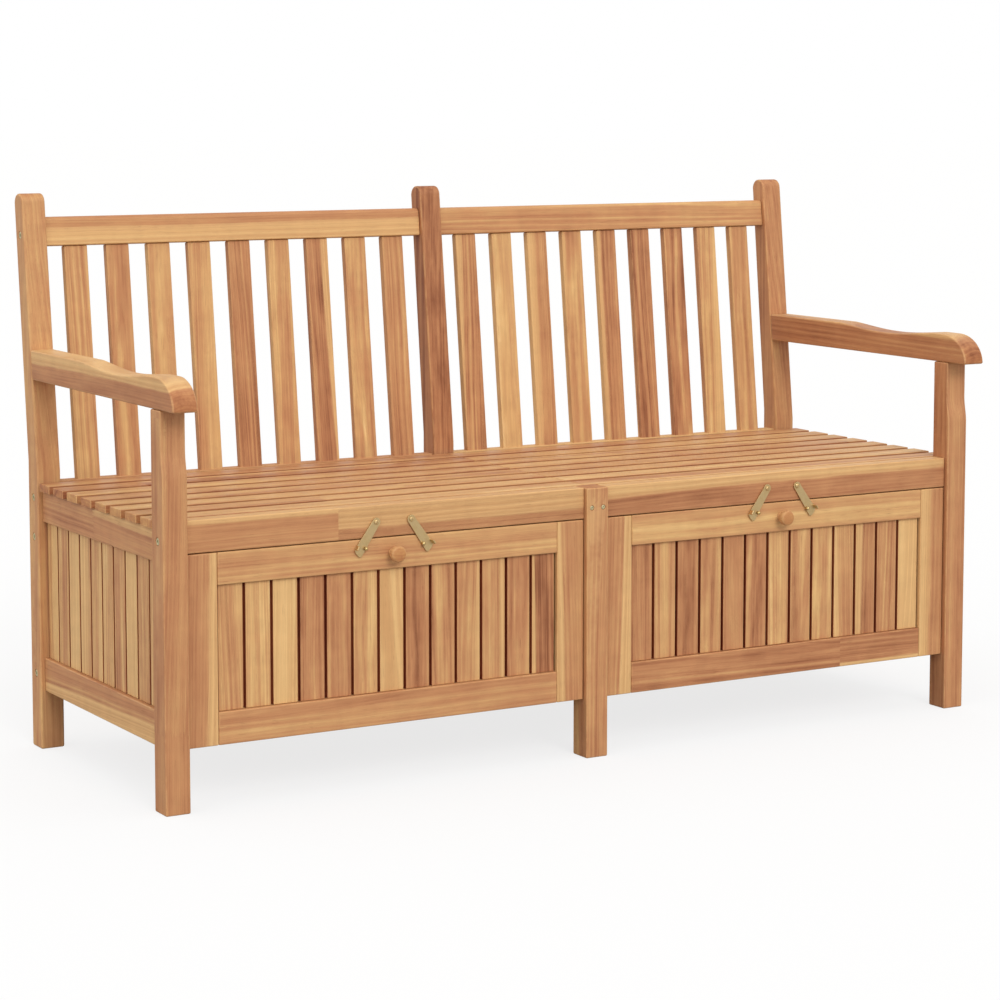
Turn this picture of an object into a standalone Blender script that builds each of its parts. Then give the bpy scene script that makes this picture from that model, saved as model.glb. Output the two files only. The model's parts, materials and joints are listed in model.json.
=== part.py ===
"""Garden storage bench with slatted seat and back, armrests, and two drop-front doors held by swing latches."""

import math

import bmesh
import bpy
from mathutils import Matrix, Vector

# Overall, in metres. X runs along the bench, Y from front to back, Z up from the ground.
LENGTH = 1.500
HEIGHT = 0.900
GAP = 0.0003  # air between two pieces that touch
EASE = 0.0015  # chamfer on the long edges of the timber

# Legs, posts and armrests. Depths are measured back from the front face of the legs.
LEG_WIDTH = 0.040
FRONT_LEG_DEPTH = 0.0415
POST_FACE = 0.5016  # front face of the rear posts, below the seat
POST_DEPTH = 0.0404
FRONT_BEND_Z = 0.455  # where the front face of a rear post starts to lean back
BACK_BEND_Z = 0.470
FRONT_SLOPE = 0.1135  # how far the front face leans back per metre of height
BACK_SLOPE = 0.1034
POST_TOP_ROUND = 0.016
ARM_UNDER_Z = 0.602
ARM_TOP_Z = 0.650
ARM_OVERHANG = 0.0415
ARM_NOSE_LENGTH = 0.060
ARM_DIP = 0.0085
ARM_DIP_POWER = 1.2  # flattens the middle of the dip a little
ARM_DIP_FROM, ARM_DIP_TO = 0.050, 0.310
ARM_POST_STEP = 0.0055  # the arm post is this much shallower above the seat
STEP_FROM_Z, STEP_TO_Z = 0.498, 0.543

# Rails
SEAT_Z = 0.437
RAIL_THICKNESS = 0.024
RAIL_RECESS = 0.0084  # front rails and doors sit this far behind the legs
FRONT_RAIL_THICKNESS = 0.028
FRONT_RAIL_BOTTOM = 0.3873
SIDE_RECESS = 0.008  # side rails sit this far inside the legs' outer faces
SIDE_UPPER_BOTTOM = 0.3729
LOWER_RAIL_BOTTOM = 0.0955
LOWER_RAIL_TOP = 0.150
REAR_RAIL_FACE = 0.507
REAR_SEAT_RAIL_BOTTOM = 0.387
REAR_PANEL_FACE = 0.510
REAR_PANEL_RAIL_BOTTOM, REAR_PANEL_RAIL_TOP = 0.320, 0.3745
CROSS_RAIL_WIDTH = 0.040

# Slats
SEAT_SLAT_THICKNESS = 0.013
SEAT_SLAT_WIDTH = 0.0415
SEAT_SLAT_PITCH = 0.0585
SEAT_SLAT_COUNT = 8
SEAT_SEAM = 0.001
BATTEN_WIDTH = 0.040
BATTEN_BOTTOM = 0.400
BACK_SLAT_COUNT = 9
BACK_SLAT_WIDTH = 0.040
BACK_SLAT_THICKNESS = 0.014
BACK_SLAT_SETBACK = 0.012
BACK_RAIL_SETBACK = 0.007
BACK_RAIL_BOTTOM_Z, BACK_RAIL_TOP_Z = 0.8165, 0.8635
BACK_RAIL_ROUND = 0.008
TENON = 0.005  # how deep a slat is let into its rail
BOARD_THICKNESS = 0.012
BOARD_WEB = 0.004  # tongue behind the open joint between two boards
BOARD_JOINT = 0.0032
SIDE_BOARD_RECESS = 0.015
SIDE_BOARD_COUNT = 10
REAR_BOARD_COUNT = 15
FLOOR_THICKNESS = 0.012

# Doors
DOOR_BOTTOM, DOOR_TOP = 0.0954, 0.3859
DOOR_THICKNESS = 0.025
DOOR_SIDE_GAP = 0.0015
STILE_WIDTH = 0.0487
DOOR_RAIL_BOTTOM_TOP = 0.1455
DOOR_RAIL_TOP_BOTTOM = 0.3369
DOOR_BOARD_COUNT = 13
DOOR_BOARD_RECESS = 0.006
KNOB_RADIUS = 0.0125
KNOB_LENGTH = 0.023
KNOB_BASE_RADIUS, KNOB_NECK_RADIUS = 0.008, 0.007
KNOB_NECK_LENGTH, KNOB_DOME_LENGTH = 0.0069, 0.0087

# Door hinges
HINGE_DEPTH = 0.0378  # how far the pin is behind the front of the legs
HINGE_RISE = 0.004  # how far the pin is above the door's lower edge
HINGE_OFFSET = 0.215  # of each hinge from the middle of the door
HINGE_LENGTH = 0.050
KNUCKLE_LENGTH = 0.016
KNUCKLE_RADIUS = 0.0032
PIN_RADIUS = 0.0015
PIN_CLEARANCE = 0.0003
LEAF_THICKNESS = 0.0015
LEAF_HEIGHT = 0.024

# Swing latches
LATCH_PIVOT_X = 0.0304  # of a pivot from the middle of the door
LATCH_PIVOT_Z = 0.4115
LATCH_TILT = math.radians(33)
LATCH_WIDTH = 0.0125
LATCH_HEAD_RADIUS = 0.0068
LATCH_LENGTH = 0.0597
LATCH_POINT = 0.003  # how far the inner edge stops short of the point
LATCH_THICKNESS = 0.002
LATCH_FACE = 0.0052  # how far its front face is behind the front of the legs
CATCH_ALONG, CATCH_IN = 0.0435, 0.0050  # the catch pin's place, along the arm and in from its middle
CATCH_SLOT_RADIUS = 0.0026
CATCH_HEAD_FROM, CATCH_REACH = 0.0030, 0.0060  # in front of the latch
CATCH_HEAD_RADIUS = 0.0030
TAB_FROM, TAB_TO = 0.0460, 0.0545
TAB_OUT = 0.0015
TAB_LIP = 0.009  # how far the finger tab stands out in front of the arm
SCREW_RADIUS = 0.002
SCREW_HEAD_RADIUS = 0.004
SCREW_HEAD_THICKNESS = 0.0026
SCREW_HEAD_EDGE = 0.001  # height of the sloping rim of the head
SCREW_HEAD_FLAT_RADIUS = 0.0028
HOLE_CLEARANCE = 0.0003
HOLE_REACH = 0.01

HALF = LENGTH / 2
LEG_INNER = HALF - LEG_WIDTH
BAY_MIDDLE = (LEG_INNER + LEG_WIDTH / 2) / 2
LEAN = math.atan(FRONT_SLOPE)
ROUND_STEPS = 16  # sides of a turned piece
POST_TOP_STEPS = 7
STEP_STEPS = 6
DIP_STEPS = 14
NOSE_STEPS = 9
RAIL_ROUND_STEPS = 3
HEAD_STEPS = 10
SLOT_STEPS = 6
DOME_STEPS = 5
BEVEL_ANGLE = math.radians(40)  # edges sharper than this are eased
SMOOTH_ANGLE = math.radians(35)
WOOD_ROUGHNESS, METAL_ROUGHNESS = 0.55, 0.35
SIDES = (("left", -1), ("right", 1))


def arc(centre, radii, start, end, steps):
    """Points along part of an ellipse, angles in degrees."""
    turns = [math.radians(start + (end - start) * i / steps) for i in range(steps + 1)]
    return [(centre[0] + radii[0] * math.cos(t), centre[1] + radii[1] * math.sin(t)) for t in turns]


def rear_post_outline():
    """Side view of a rear post, with depths measured from the front of the legs."""
    face_top = POST_FACE + FRONT_SLOPE * (HEIGHT - FRONT_BEND_Z)
    back_top = POST_FACE + POST_DEPTH + BACK_SLOPE * (HEIGHT - BACK_BEND_Z)
    r = POST_TOP_ROUND
    top = arc((back_top - r - BACK_SLOPE * r, HEIGHT - r), (r, r), 0, 90, POST_TOP_STEPS)
    top += arc((face_top + r - FRONT_SLOPE * r, HEIGHT - r), (r, r), 90, 180, POST_TOP_STEPS)
    foot = [(POST_FACE, 0), (POST_FACE + POST_DEPTH, 0), (POST_FACE + POST_DEPTH, BACK_BEND_Z)]
    return foot + top + [(POST_FACE, FRONT_BEND_Z)]


REARMOST = max(depth for depth, _ in rear_post_outline())
FRONT = (ARM_OVERHANG - REARMOST) / 2  # Y of the legs' front face, with the origin midway in depth


def behind(depth):
    """Y of a place this far behind the front face of the legs."""
    return FRONT + depth


def leaning(along, deep):
    """(depth, z) of a point this far up the lean from the bend, and this deep behind the posts' front face."""
    up = Vector((math.sin(LEAN), math.cos(LEAN)))
    back = Vector((math.cos(LEAN), -math.sin(LEAN)))
    return tuple(Vector((POST_FACE, FRONT_BEND_Z)) + along * up + deep * back)


def up_the_lean(z):
    return (z - FRONT_BEND_Z) / math.cos(LEAN)


def finish(name, colour, roughness, metallic=0.0):
    material = bpy.data.materials.new(name)
    material.use_nodes = True
    shader = material.node_tree.nodes["Principled BSDF"]
    shader.inputs["Base Color"].default_value = (*colour, 1)
    shader.inputs["Roughness"].default_value = roughness
    shader.inputs["Metallic"].default_value = metallic
    return material


WOOD = {
    "honey": (0.66, 0.42, 0.17),
    "tan": (0.55, 0.31, 0.13),
    "russet": (0.48, 0.23, 0.10),
}
METAL = {"brass": (0.52, 0.40, 0.17)}


def add_object(name, mesh, look, parent=None, at=(0, 0, 0)):
    """An object of this mesh at a world place, with a material of its own."""
    piece = bpy.data.objects.new(name, mesh)
    bpy.context.scene.collection.objects.link(piece)
    piece.location = Vector(at) - (parent.location if parent else Vector())
    piece.parent = parent
    if look in WOOD:
        mesh.materials.append(finish(name + "_wood", WOOD[look], WOOD_ROUGHNESS))
    else:
        mesh.materials.append(finish(name + "_" + look, METAL[look], METAL_ROUGHNESS, 1.0))
    return piece


def mesh_from(name, form):
    """A mesh from a filled bmesh, with its faces turned outwards."""
    bmesh.ops.recalc_face_normals(form, faces=form.faces)
    mesh = bpy.data.meshes.new(name)
    form.to_mesh(mesh)
    form.free()
    return mesh


def ease_edges(piece, width=EASE):
    bevel = piece.modifiers.new("eased_edges", "BEVEL")
    bevel.width = width
    bevel.segments = 1
    bevel.limit_method = "ANGLE"
    bevel.angle_limit = BEVEL_ANGLE


def add_box(form, low, high):
    size = Vector(high) - Vector(low)
    place = Matrix.Translation((Vector(low) + Vector(high)) / 2) @ Matrix.Diagonal((*size, 1))
    bmesh.ops.create_cube(form, size=1, matrix=place)


def board(name, low, high, look, parent=None):
    """One plain timber with eased edges, its origin at its middle."""
    middle = (Vector(low) + Vector(high)) / 2
    form = bmesh.new()
    add_box(form, Vector(low) - middle, Vector(high) - middle)
    piece = add_object(name, mesh_from(name, form), look, parent, middle)
    ease_edges(piece)
    return piece


def add_prism(form, outline, start, end):
    """Extrudes a closed outline from one set of 3-D points to the other."""
    face = form.faces.new([form.verts.new(start(*point)) for point in outline])
    sweep = Vector(end(*outline[0])) - Vector(start(*outline[0]))
    made = bmesh.ops.extrude_face_region(form, geom=[face])["geom"]
    bmesh.ops.translate(form, vec=sweep, verts=[v for v in made if isinstance(v, bmesh.types.BMVert)])


def side_profile(name, outline, x_low, x_high, look):
    """A timber cut to an outline of (depth, z), between two places along the bench."""
    form = bmesh.new()
    width = x_high - x_low
    add_prism(form, outline, lambda d, z: (-width / 2, d, z), lambda d, z: (width / 2, d, z))
    piece = add_object(name, mesh_from(name, form), look, None, ((x_low + x_high) / 2, FRONT, 0))
    ease_edges(piece)
    return piece


def helper(name, form, at=(0, 0, 0)):
    """A shape that only joins or cuts another one."""
    tool = bpy.data.objects.new(name, mesh_from(name, form))
    bpy.context.scene.collection.objects.link(tool)
    tool.location = at
    tool.hide_render = True
    tool.display_type = "WIRE"
    return tool


def combine(piece, tool, operation):
    boolean = piece.modifiers.new(operation.lower(), "BOOLEAN")
    boolean.operation = operation
    boolean.object = tool


def board_outline(width, count, thickness):
    """Plan view of boards side by side: open joints in the face, a tongue behind each, face at zero depth."""
    pitch = width / count
    points = []
    for i in range(count):
        left = i * pitch + (BOARD_JOINT / 2 if i else 0)
        right = (i + 1) * pitch - (BOARD_JOINT / 2 if i < count - 1 else 0)
        bottom = thickness - BOARD_WEB
        points += [(left, bottom)] if i else []
        points += [(left, 0), (right, 0)]
        points += [(right, bottom)] if i < count - 1 else []
    return points + [(width, thickness), (0, thickness)]


def turned(form, profile, place):
    """A round solid from (along, radius) points that start and end on the axis, along local Y."""
    rings = []
    for along, radius in profile:
        if radius == 0:
            rings.append([form.verts.new(place @ Vector((0, along, 0)))])
            continue
        turns = [2 * math.pi * i / ROUND_STEPS for i in range(ROUND_STEPS)]
        points = [Vector((radius * math.cos(t), along, radius * math.sin(t))) for t in turns]
        rings.append([form.verts.new(place @ point) for point in points])
    for one, other in zip(rings, rings[1:]):
        for i in range(ROUND_STEPS):
            j = (i + 1) % ROUND_STEPS
            corners = [one[i % len(one)], one[j % len(one)], other[j % len(other)], other[i % len(other)]]
            form.faces.new(dict.fromkeys(corners))


def turned_piece(name, profile, at, look, parent=None):
    """A turned piece whose axis runs along Y from a place on its mounting face."""
    form = bmesh.new()
    turned(form, profile, Matrix.Identity(4))
    mesh = mesh_from(name, form)
    mesh.shade_smooth()
    mesh.set_sharp_from_angle(angle=SMOOTH_ANGLE)
    return add_object(name, mesh, look, parent, at)


def joint_empty(name, at):
    empty = bpy.data.objects.new(name, None)
    bpy.context.scene.collection.objects.link(empty)
    empty.location = at
    empty.empty_display_size = 0.05
    return empty


def bay(side, start, end):
    """X range of a stretch given outwards from the middle of the bench, on one side of it."""
    return (start, end) if side > 0 else (-end, -start)


def legs_and_posts():
    rise = [i / STEP_STEPS for i in range(STEP_STEPS + 1)]
    curve = [
        (ARM_POST_STEP * (1 - math.cos(math.pi * t)) / 2, STEP_FROM_Z + (STEP_TO_Z - STEP_FROM_Z) * t)
        for t in rise
    ]
    top = ARM_UNDER_Z - GAP
    tall = [(0, 0)] + curve + [(ARM_POST_STEP, top), (FRONT_LEG_DEPTH, top), (FRONT_LEG_DEPTH, 0)]
    short = [(0, 0), (0, SEAT_Z), (FRONT_LEG_DEPTH, SEAT_Z), (FRONT_LEG_DEPTH, 0)]
    places = (("left", -HALF), ("middle", -LEG_WIDTH / 2), ("right", LEG_INNER))
    for name, x in places:
        outline = short if name == "middle" else tall
        side_profile(f"front_leg_{name}", outline, x, x + LEG_WIDTH, "tan")
        side_profile(f"rear_post_{name}", rear_post_outline(), x, x + LEG_WIDTH, "tan")


def armrests():
    top = []
    for i in range(DIP_STEPS + 1):
        share = i / DIP_STEPS
        drop = ARM_DIP * max(0, math.sin(math.pi * share)) ** ARM_DIP_POWER
        top.append((ARM_DIP_FROM + (ARM_DIP_TO - ARM_DIP_FROM) * share, ARM_TOP_Z - drop))
    thick = ARM_TOP_Z - ARM_UNDER_Z
    nose = arc((ARM_NOSE_LENGTH - ARM_OVERHANG, ARM_UNDER_Z), (ARM_NOSE_LENGTH, thick), 180, 90, NOSE_STEPS)
    meets_post = [
        (POST_FACE + FRONT_SLOPE * (z - FRONT_BEND_Z) - GAP, z) for z in (ARM_TOP_Z, ARM_UNDER_Z)
    ]
    for name, side in SIDES:
        side_profile(f"armrest_{name}", nose + top + meets_post, *bay(side, LEG_INNER, HALF), "honey")


def back():
    inner, outer = LEG_WIDTH / 2 + GAP, LEG_INNER - GAP
    low, high = up_the_lean(BACK_RAIL_BOTTOM_Z), up_the_lean(BACK_RAIL_TOP_Z)
    near, far = BACK_RAIL_SETBACK, BACK_RAIL_SETBACK + RAIL_THICKNESS
    r = BACK_RAIL_ROUND
    section = [(low, near), (high - r, near)]
    rounding = arc((near + r, high - r), (r, r), 150, 90, RAIL_ROUND_STEPS)
    section += [(along, deep) for deep, along in rounding] + [(high, far), (low, far)]
    rail = [leaning(a, d) for a, d in section]
    slat_low, slat_high = up_the_lean(SEAT_Z - TENON), low - GAP
    front, rear = BACK_SLAT_SETBACK, BACK_SLAT_SETBACK + BACK_SLAT_THICKNESS
    slat = [leaning(*p) for p in ((slat_low, front), (slat_high, front), (slat_high, rear), (slat_low, rear))]
    pitch = (outer - inner + 2 * GAP + BACK_SLAT_WIDTH) / (BACK_SLAT_COUNT + 1)
    for name, side in SIDES:
        x_low, x_high = bay(side, inner, outer)
        side_profile(f"back_top_rail_{name}", rail, x_low, x_high, "honey")
        seat_rail_low = (x_low, behind(REAR_RAIL_FACE), REAR_SEAT_RAIL_BOTTOM)
        seat_rail_high = (x_high, behind(REAR_RAIL_FACE + RAIL_THICKNESS), SEAT_Z)
        rack = board(f"back_slats_{name}", seat_rail_low, seat_rail_high, "tan")
        form = bmesh.new()
        for i in range(BACK_SLAT_COUNT):
            middle = (i - (BACK_SLAT_COUNT - 1) / 2) * pitch + side * BAY_MIDDLE
            edges = middle - BACK_SLAT_WIDTH / 2, middle + BACK_SLAT_WIDTH / 2
            add_prism(form, slat, lambda d, z: (edges[0], d, z), lambda d, z: (edges[1], d, z))
        combine(rack, helper(f"back_slat_shapes_{name}", form, (0, FRONT, 0)), "UNION")


def seat():
    bottom = SEAT_Z - SEAT_SLAT_THICKNESS
    first = FRONT_LEG_DEPTH + 2 * GAP
    last = first + (SEAT_SLAT_COUNT - 1) * SEAT_SLAT_PITCH + SEAT_SLAT_WIDTH
    for name, side in SIDES:
        x_low, x_high = bay(side, SEAT_SEAM / 2, HALF)
        across = side * BAY_MIDDLE
        low = (across - BATTEN_WIDTH / 2, behind(first + GAP), BATTEN_BOTTOM)
        high = (across + BATTEN_WIDTH / 2, behind(last - GAP), bottom + SEAT_SLAT_THICKNESS / 4)
        slats = board(f"seat_slats_{name}", low, high, "honey")
        form = bmesh.new()
        for i in range(SEAT_SLAT_COUNT):
            near = behind(first + i * SEAT_SLAT_PITCH)
            add_box(form, (x_low, near, bottom), (x_high, near + SEAT_SLAT_WIDTH, SEAT_Z))
        combine(slats, helper(f"seat_slat_shapes_{name}", form), "UNION")
    half = CROSS_RAIL_WIDTH / 2
    board(
        "seat_cross_rail",
        (-half, behind(FRONT_LEG_DEPTH + GAP), SIDE_UPPER_BOTTOM),
        (half, behind(POST_FACE - GAP), bottom - GAP),
        "tan",
    )


def frame_rails():
    bottom = SEAT_Z - SEAT_SLAT_THICKNESS - GAP
    front, rear = behind(FRONT_LEG_DEPTH + GAP), behind(POST_FACE - GAP)
    for name, side in SIDES:
        x_low, x_high = bay(side, LEG_WIDTH / 2 + GAP, LEG_INNER - GAP)
        near = behind(RAIL_RECESS)
        low, high = (x_low, near, FRONT_RAIL_BOTTOM), (x_high, near + FRONT_RAIL_THICKNESS, SEAT_Z)
        board(f"front_rail_{name}", low, high, "honey")
        x_low, x_high = bay(side, HALF - SIDE_RECESS - RAIL_THICKNESS, HALF - SIDE_RECESS)
        low, high = (x_low, front, SIDE_UPPER_BOTTOM), (x_high, rear, bottom)
        board(f"side_upper_rail_{name}", low, high, "russet")
        low, high = (x_low, front, LOWER_RAIL_BOTTOM), (x_high, rear, LOWER_RAIL_TOP)
        board(f"side_lower_rail_{name}", low, high, "russet")
    reach = HALF - SIDE_RECESS - RAIL_THICKNESS - GAP
    low, high = (-reach, front, LOWER_RAIL_BOTTOM), (reach, front + RAIL_THICKNESS, LOWER_RAIL_TOP)
    board("front_lower_rail", low, high, "tan")


def side_boards():
    """The upright boards at each end, between the upper and lower side rails."""
    outline = board_outline(POST_FACE - FRONT_LEG_DEPTH - 2 * GAP, SIDE_BOARD_COUNT, BOARD_THICKNESS)
    start, end = LOWER_RAIL_TOP + GAP, SIDE_UPPER_BOTTOM - GAP
    for name, side in SIDES:
        form = bmesh.new()
        add_prism(form, outline, lambda w, d: (-side * d, w, 0), lambda w, d: (-side * d, w, end - start))
        face = side * (HALF - SIDE_BOARD_RECESS)
        place = (face, behind(FRONT_LEG_DEPTH + GAP), start)
        add_object(f"side_slats_{name}", mesh_from(f"side_slats_{name}", form), "tan", None, place)


def rear_panels():
    """The fixed panels behind the storage space: two rails each, with boards let in between them."""
    face, inner, outer = behind(REAR_PANEL_FACE), LEG_WIDTH / 2 + GAP, LEG_INNER - GAP
    outline = board_outline(outer - inner, REAR_BOARD_COUNT, BOARD_THICKNESS)
    far = face + RAIL_THICKNESS
    start, end = LOWER_RAIL_TOP - TENON, REAR_PANEL_RAIL_BOTTOM + TENON
    middle = face + (RAIL_THICKNESS + BOARD_THICKNESS) / 2
    for name, side in SIDES:
        x_low, x_high = bay(side, inner, outer)
        low, high = (x_low, behind(POST_FACE), LOWER_RAIL_BOTTOM), (x_high, far, LOWER_RAIL_TOP)
        panel = board(f"rear_panel_{name}", low, high, "tan")
        form = bmesh.new()
        add_prism(form, outline, lambda w, d: (w, -d, 0), lambda w, d: (w, -d, end - start))
        combine(panel, helper(f"rear_board_shapes_{name}", form, (x_low, middle, start)), "UNION")
        form = bmesh.new()
        add_box(form, (x_low, face, REAR_PANEL_RAIL_BOTTOM), (x_high, far, REAR_PANEL_RAIL_TOP))
        combine(panel, helper(f"rear_rail_shape_{name}", form), "UNION")


def floors():
    """One floor for each bay, on the lower rails, notched round the rear posts."""
    bottom = LOWER_RAIL_TOP + GAP
    top = bottom + FLOOR_THICKNESS
    inner, edge = SEAT_SEAM / 2, HALF - SIDE_BOARD_RECESS - BOARD_THICKNESS - GAP
    near, post = behind(FRONT_LEG_DEPTH + GAP), behind(POST_FACE - GAP)
    far = behind(REAR_PANEL_FACE + (RAIL_THICKNESS - BOARD_THICKNESS) / 2 - GAP)
    past_middle, past_end = LEG_WIDTH / 2 + GAP, LEG_INNER - GAP
    outline = [(inner, near), (edge, near), (edge, post), (past_end, post), (past_end, far)]
    outline += [(past_middle, far), (past_middle, post), (inner, post)]
    for name, side in SIDES:
        form = bmesh.new()
        add_prism(form, outline, lambda x, y: (side * x, y, bottom), lambda x, y: (side * x, y, top))
        add_object(f"floor_{name}", mesh_from(f"floor_{name}", form), "russet")


def hinge_leaf(name, knuckles, face_depth, across, parent, has_pin):
    """A leaf standing against the face at this depth, with knuckles over the given stretches of the pin."""
    axis = Vector((across, behind(HINGE_DEPTH), DOOR_BOTTOM + HINGE_RISE))
    near, far = face_depth - HINGE_DEPTH, face_depth - HINGE_DEPTH + LEAF_THICKNESS
    above = KNUCKLE_RADIUS + 2 * PIN_CLEARANCE
    half = HINGE_LENGTH / 2
    form = bmesh.new()
    add_box(form, (-half, near, above), (half, far, above + LEAF_HEIGHT))
    leaf = add_object(name, mesh_from(name, form), "brass", parent, axis)
    along_x = Matrix.Rotation(-math.pi / 2, 4, "Z")
    for i, (start, end) in enumerate(knuckles):
        form = bmesh.new()
        add_box(form, (start, near, 0), (end, far, above + LEAF_THICKNESS))
        neck = helper(f"{name}_neck_{i}", form, axis)
        combine(leaf, neck, "UNION")
        form = bmesh.new()
        profile = [(start, 0), (start, KNUCKLE_RADIUS), (end, KNUCKLE_RADIUS), (end, 0)]
        turned(form, profile, along_x)
        combine(leaf, helper(f"{name}_knuckle_{i}", form, axis), "UNION")
    form = bmesh.new()
    radius, reach = (PIN_RADIUS, half) if has_pin else (PIN_RADIUS + PIN_CLEARANCE, half * 2)
    turned(form, [(-reach, 0), (-reach, radius), (reach, radius), (reach, 0)], along_x)
    combine(leaf, helper(f"{name}_pin", form, axis), "UNION" if has_pin else "DIFFERENCE")


def latch_outline(outward):
    """Front view of a latch arm hanging straight down from its pivot at the origin."""
    half = LATCH_WIDTH / 2
    shoulder = math.degrees(math.acos(half / LATCH_HEAD_RADIUS))
    head = arc((0, 0), (LATCH_HEAD_RADIUS, LATCH_HEAD_RADIUS), 180 + shoulder, -shoulder, HEAD_STEPS)
    outer = [(half, -TAB_FROM), (half + TAB_OUT, -TAB_FROM), (half + TAB_OUT, -TAB_TO), (half, -TAB_TO)]
    point = [(half, -LATCH_LENGTH + LATCH_POINT / 2), (-half / 2, -LATCH_LENGTH)]
    inner = [(-half, -LATCH_LENGTH + LATCH_POINT), (-half, -CATCH_ALONG - CATCH_SLOT_RADIUS)]
    slot = arc((-CATCH_IN, -CATCH_ALONG), (CATCH_SLOT_RADIUS, CATCH_SLOT_RADIUS), -90, 90, SLOT_STEPS)
    points = head + outer + point + inner + slot + [(-half, -CATCH_ALONG + CATCH_SLOT_RADIUS)]
    return [(outward * x, z) for x, z in points]


def latch(door, name, across, outward):
    """A latch arm, its pivot screw in the front rail, and the place of its catch pin."""
    face = behind(LATCH_FACE)
    pivot = Vector((across + outward * LATCH_PIVOT_X, face, LATCH_PIVOT_Z))
    swing = joint_empty(f"{name}_pivot", pivot)
    form = bmesh.new()
    outline = latch_outline(outward)
    add_prism(form, outline, lambda x, z: (x, 0, z), lambda x, z: (x, LATCH_THICKNESS, z))
    arm = add_object(name, mesh_from(name, form), "brass", swing, pivot)
    tilt = Matrix.Rotation(-outward * LATCH_TILT, 4, "Y")
    arm.rotation_euler = tilt.to_euler()
    form = bmesh.new()
    tip = outward * (LATCH_WIDTH / 2 + TAB_OUT)
    ends = sorted((tip, tip - outward * LATCH_THICKNESS / 2))
    low, high = (ends[0], -TAB_LIP, -TAB_TO), (ends[1], LATCH_THICKNESS, -TAB_FROM)
    add_box(form, low, high)
    lip = helper(f"{name}_lip", form, pivot)
    lip.rotation_euler = tilt.to_euler()
    combine(arm, lip, "UNION")
    form = bmesh.new()
    radius = SCREW_RADIUS + HOLE_CLEARANCE
    drill = [(-HOLE_REACH, 0), (-HOLE_REACH, radius), (HOLE_REACH, radius), (HOLE_REACH, 0)]
    turned(form, drill, Matrix.Identity(4))
    combine(arm, helper(f"{name}_hole", form, pivot), "DIFFERENCE")
    rail = RAIL_RECESS - LATCH_FACE - GAP
    head = GAP + SCREW_HEAD_THICKNESS
    screw = [(rail, 0), (rail, SCREW_RADIUS), (-GAP, SCREW_RADIUS), (-GAP, SCREW_HEAD_RADIUS)]
    screw += [(-head + SCREW_HEAD_EDGE, SCREW_HEAD_RADIUS), (-head, SCREW_HEAD_FLAT_RADIUS), (-head, 0)]
    turned_piece(f"{name}_screw", screw, pivot, "brass")
    catch = pivot + tilt @ Vector((-outward * CATCH_IN, 0, -CATCH_ALONG))
    pin = [(rail, 0), (rail, SCREW_RADIUS), (-CATCH_HEAD_FROM, SCREW_RADIUS), (-CATCH_HEAD_FROM, CATCH_HEAD_RADIUS)]
    pin += [(-CATCH_REACH + SCREW_HEAD_EDGE, CATCH_HEAD_RADIUS), (-CATCH_REACH, SCREW_HEAD_FLAT_RADIUS)]
    turned_piece(f"{name}_catch_pin", pin + [(-CATCH_REACH, 0)], catch, "brass", door)


def door(name, side):
    """A drop-front door on an empty at its hinge pins, with its hinges and latches."""
    across = side * BAY_MIDDLE
    hinge = joint_empty(f"{name}_hinge_axis", (across, behind(HINGE_DEPTH), DOOR_BOTTOM + HINGE_RISE))
    x_low, x_high = bay(side, LEG_WIDTH / 2 + DOOR_SIDE_GAP, LEG_INNER - DOOR_SIDE_GAP)
    near = behind(RAIL_RECESS)
    far = near + DOOR_THICKNESS
    left, right = x_low + STILE_WIDTH, x_high - STILE_WIDTH
    board(f"{name}_stile_left", (x_low, near, DOOR_BOTTOM), (left, far, DOOR_TOP), "tan", hinge)
    board(f"{name}_stile_right", (right, near, DOOR_BOTTOM), (x_high, far, DOOR_TOP), "tan", hinge)
    left, right = left + GAP, right - GAP
    low, high = (left, near, DOOR_RAIL_TOP_BOTTOM), (right, far, DOOR_TOP)
    board(f"{name}_top_rail", low, high, "honey", hinge)
    low, high = (left, near, DOOR_BOTTOM), (right, far, DOOR_RAIL_BOTTOM_TOP)
    board(f"{name}_bottom_rail", low, high, "honey", hinge)
    outline = board_outline(right - left, DOOR_BOARD_COUNT, BOARD_THICKNESS)
    start, end = DOOR_RAIL_BOTTOM_TOP + GAP, DOOR_RAIL_TOP_BOTTOM - GAP
    form = bmesh.new()
    add_prism(form, outline, lambda w, d: (w, d, 0), lambda w, d: (w, d, end - start))
    place = (left, near + DOOR_BOARD_RECESS, start)
    add_object(f"{name}_slats", mesh_from(f"{name}_slats", form), "tan", hinge, place)
    knob_z = (DOOR_RAIL_TOP_BOTTOM + DOOR_TOP) / 2
    knob = [(-GAP, 0), (-GAP, KNOB_BASE_RADIUS), (-KNOB_NECK_LENGTH, KNOB_NECK_RADIUS)]
    for i in range(DOME_STEPS):
        turn = math.pi / 2 * i / DOME_STEPS
        along = KNOB_LENGTH - KNOB_DOME_LENGTH * (1 - math.sin(turn))
        knob.append((-along, KNOB_RADIUS * math.cos(turn)))
    knob.append((-KNOB_LENGTH, 0))
    turned_piece(f"{name}_knob", knob, (across, near, knob_z), "honey", hinge)
    for end_name, end_side in SIDES:
        middle = across + end_side * HINGE_OFFSET
        half, knuckle = HINGE_LENGTH / 2, KNUCKLE_LENGTH
        outer = ((-half, -half + knuckle), (half - knuckle, half))
        inner = ((-half + knuckle + GAP, half - knuckle - GAP),)
        door_face = RAIL_RECESS + DOOR_THICKNESS + GAP
        rail_face = FRONT_LEG_DEPTH - LEAF_THICKNESS
        hinge_leaf(f"{name}_hinge_leaf_{end_name}", outer, door_face, middle, hinge, has_pin=False)
        hinge_leaf(f"{name}_frame_leaf_{end_name}", inner, rail_face, middle, None, has_pin=True)
        latch(hinge, f"{name}_latch_{end_name}", across, end_side)


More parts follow.
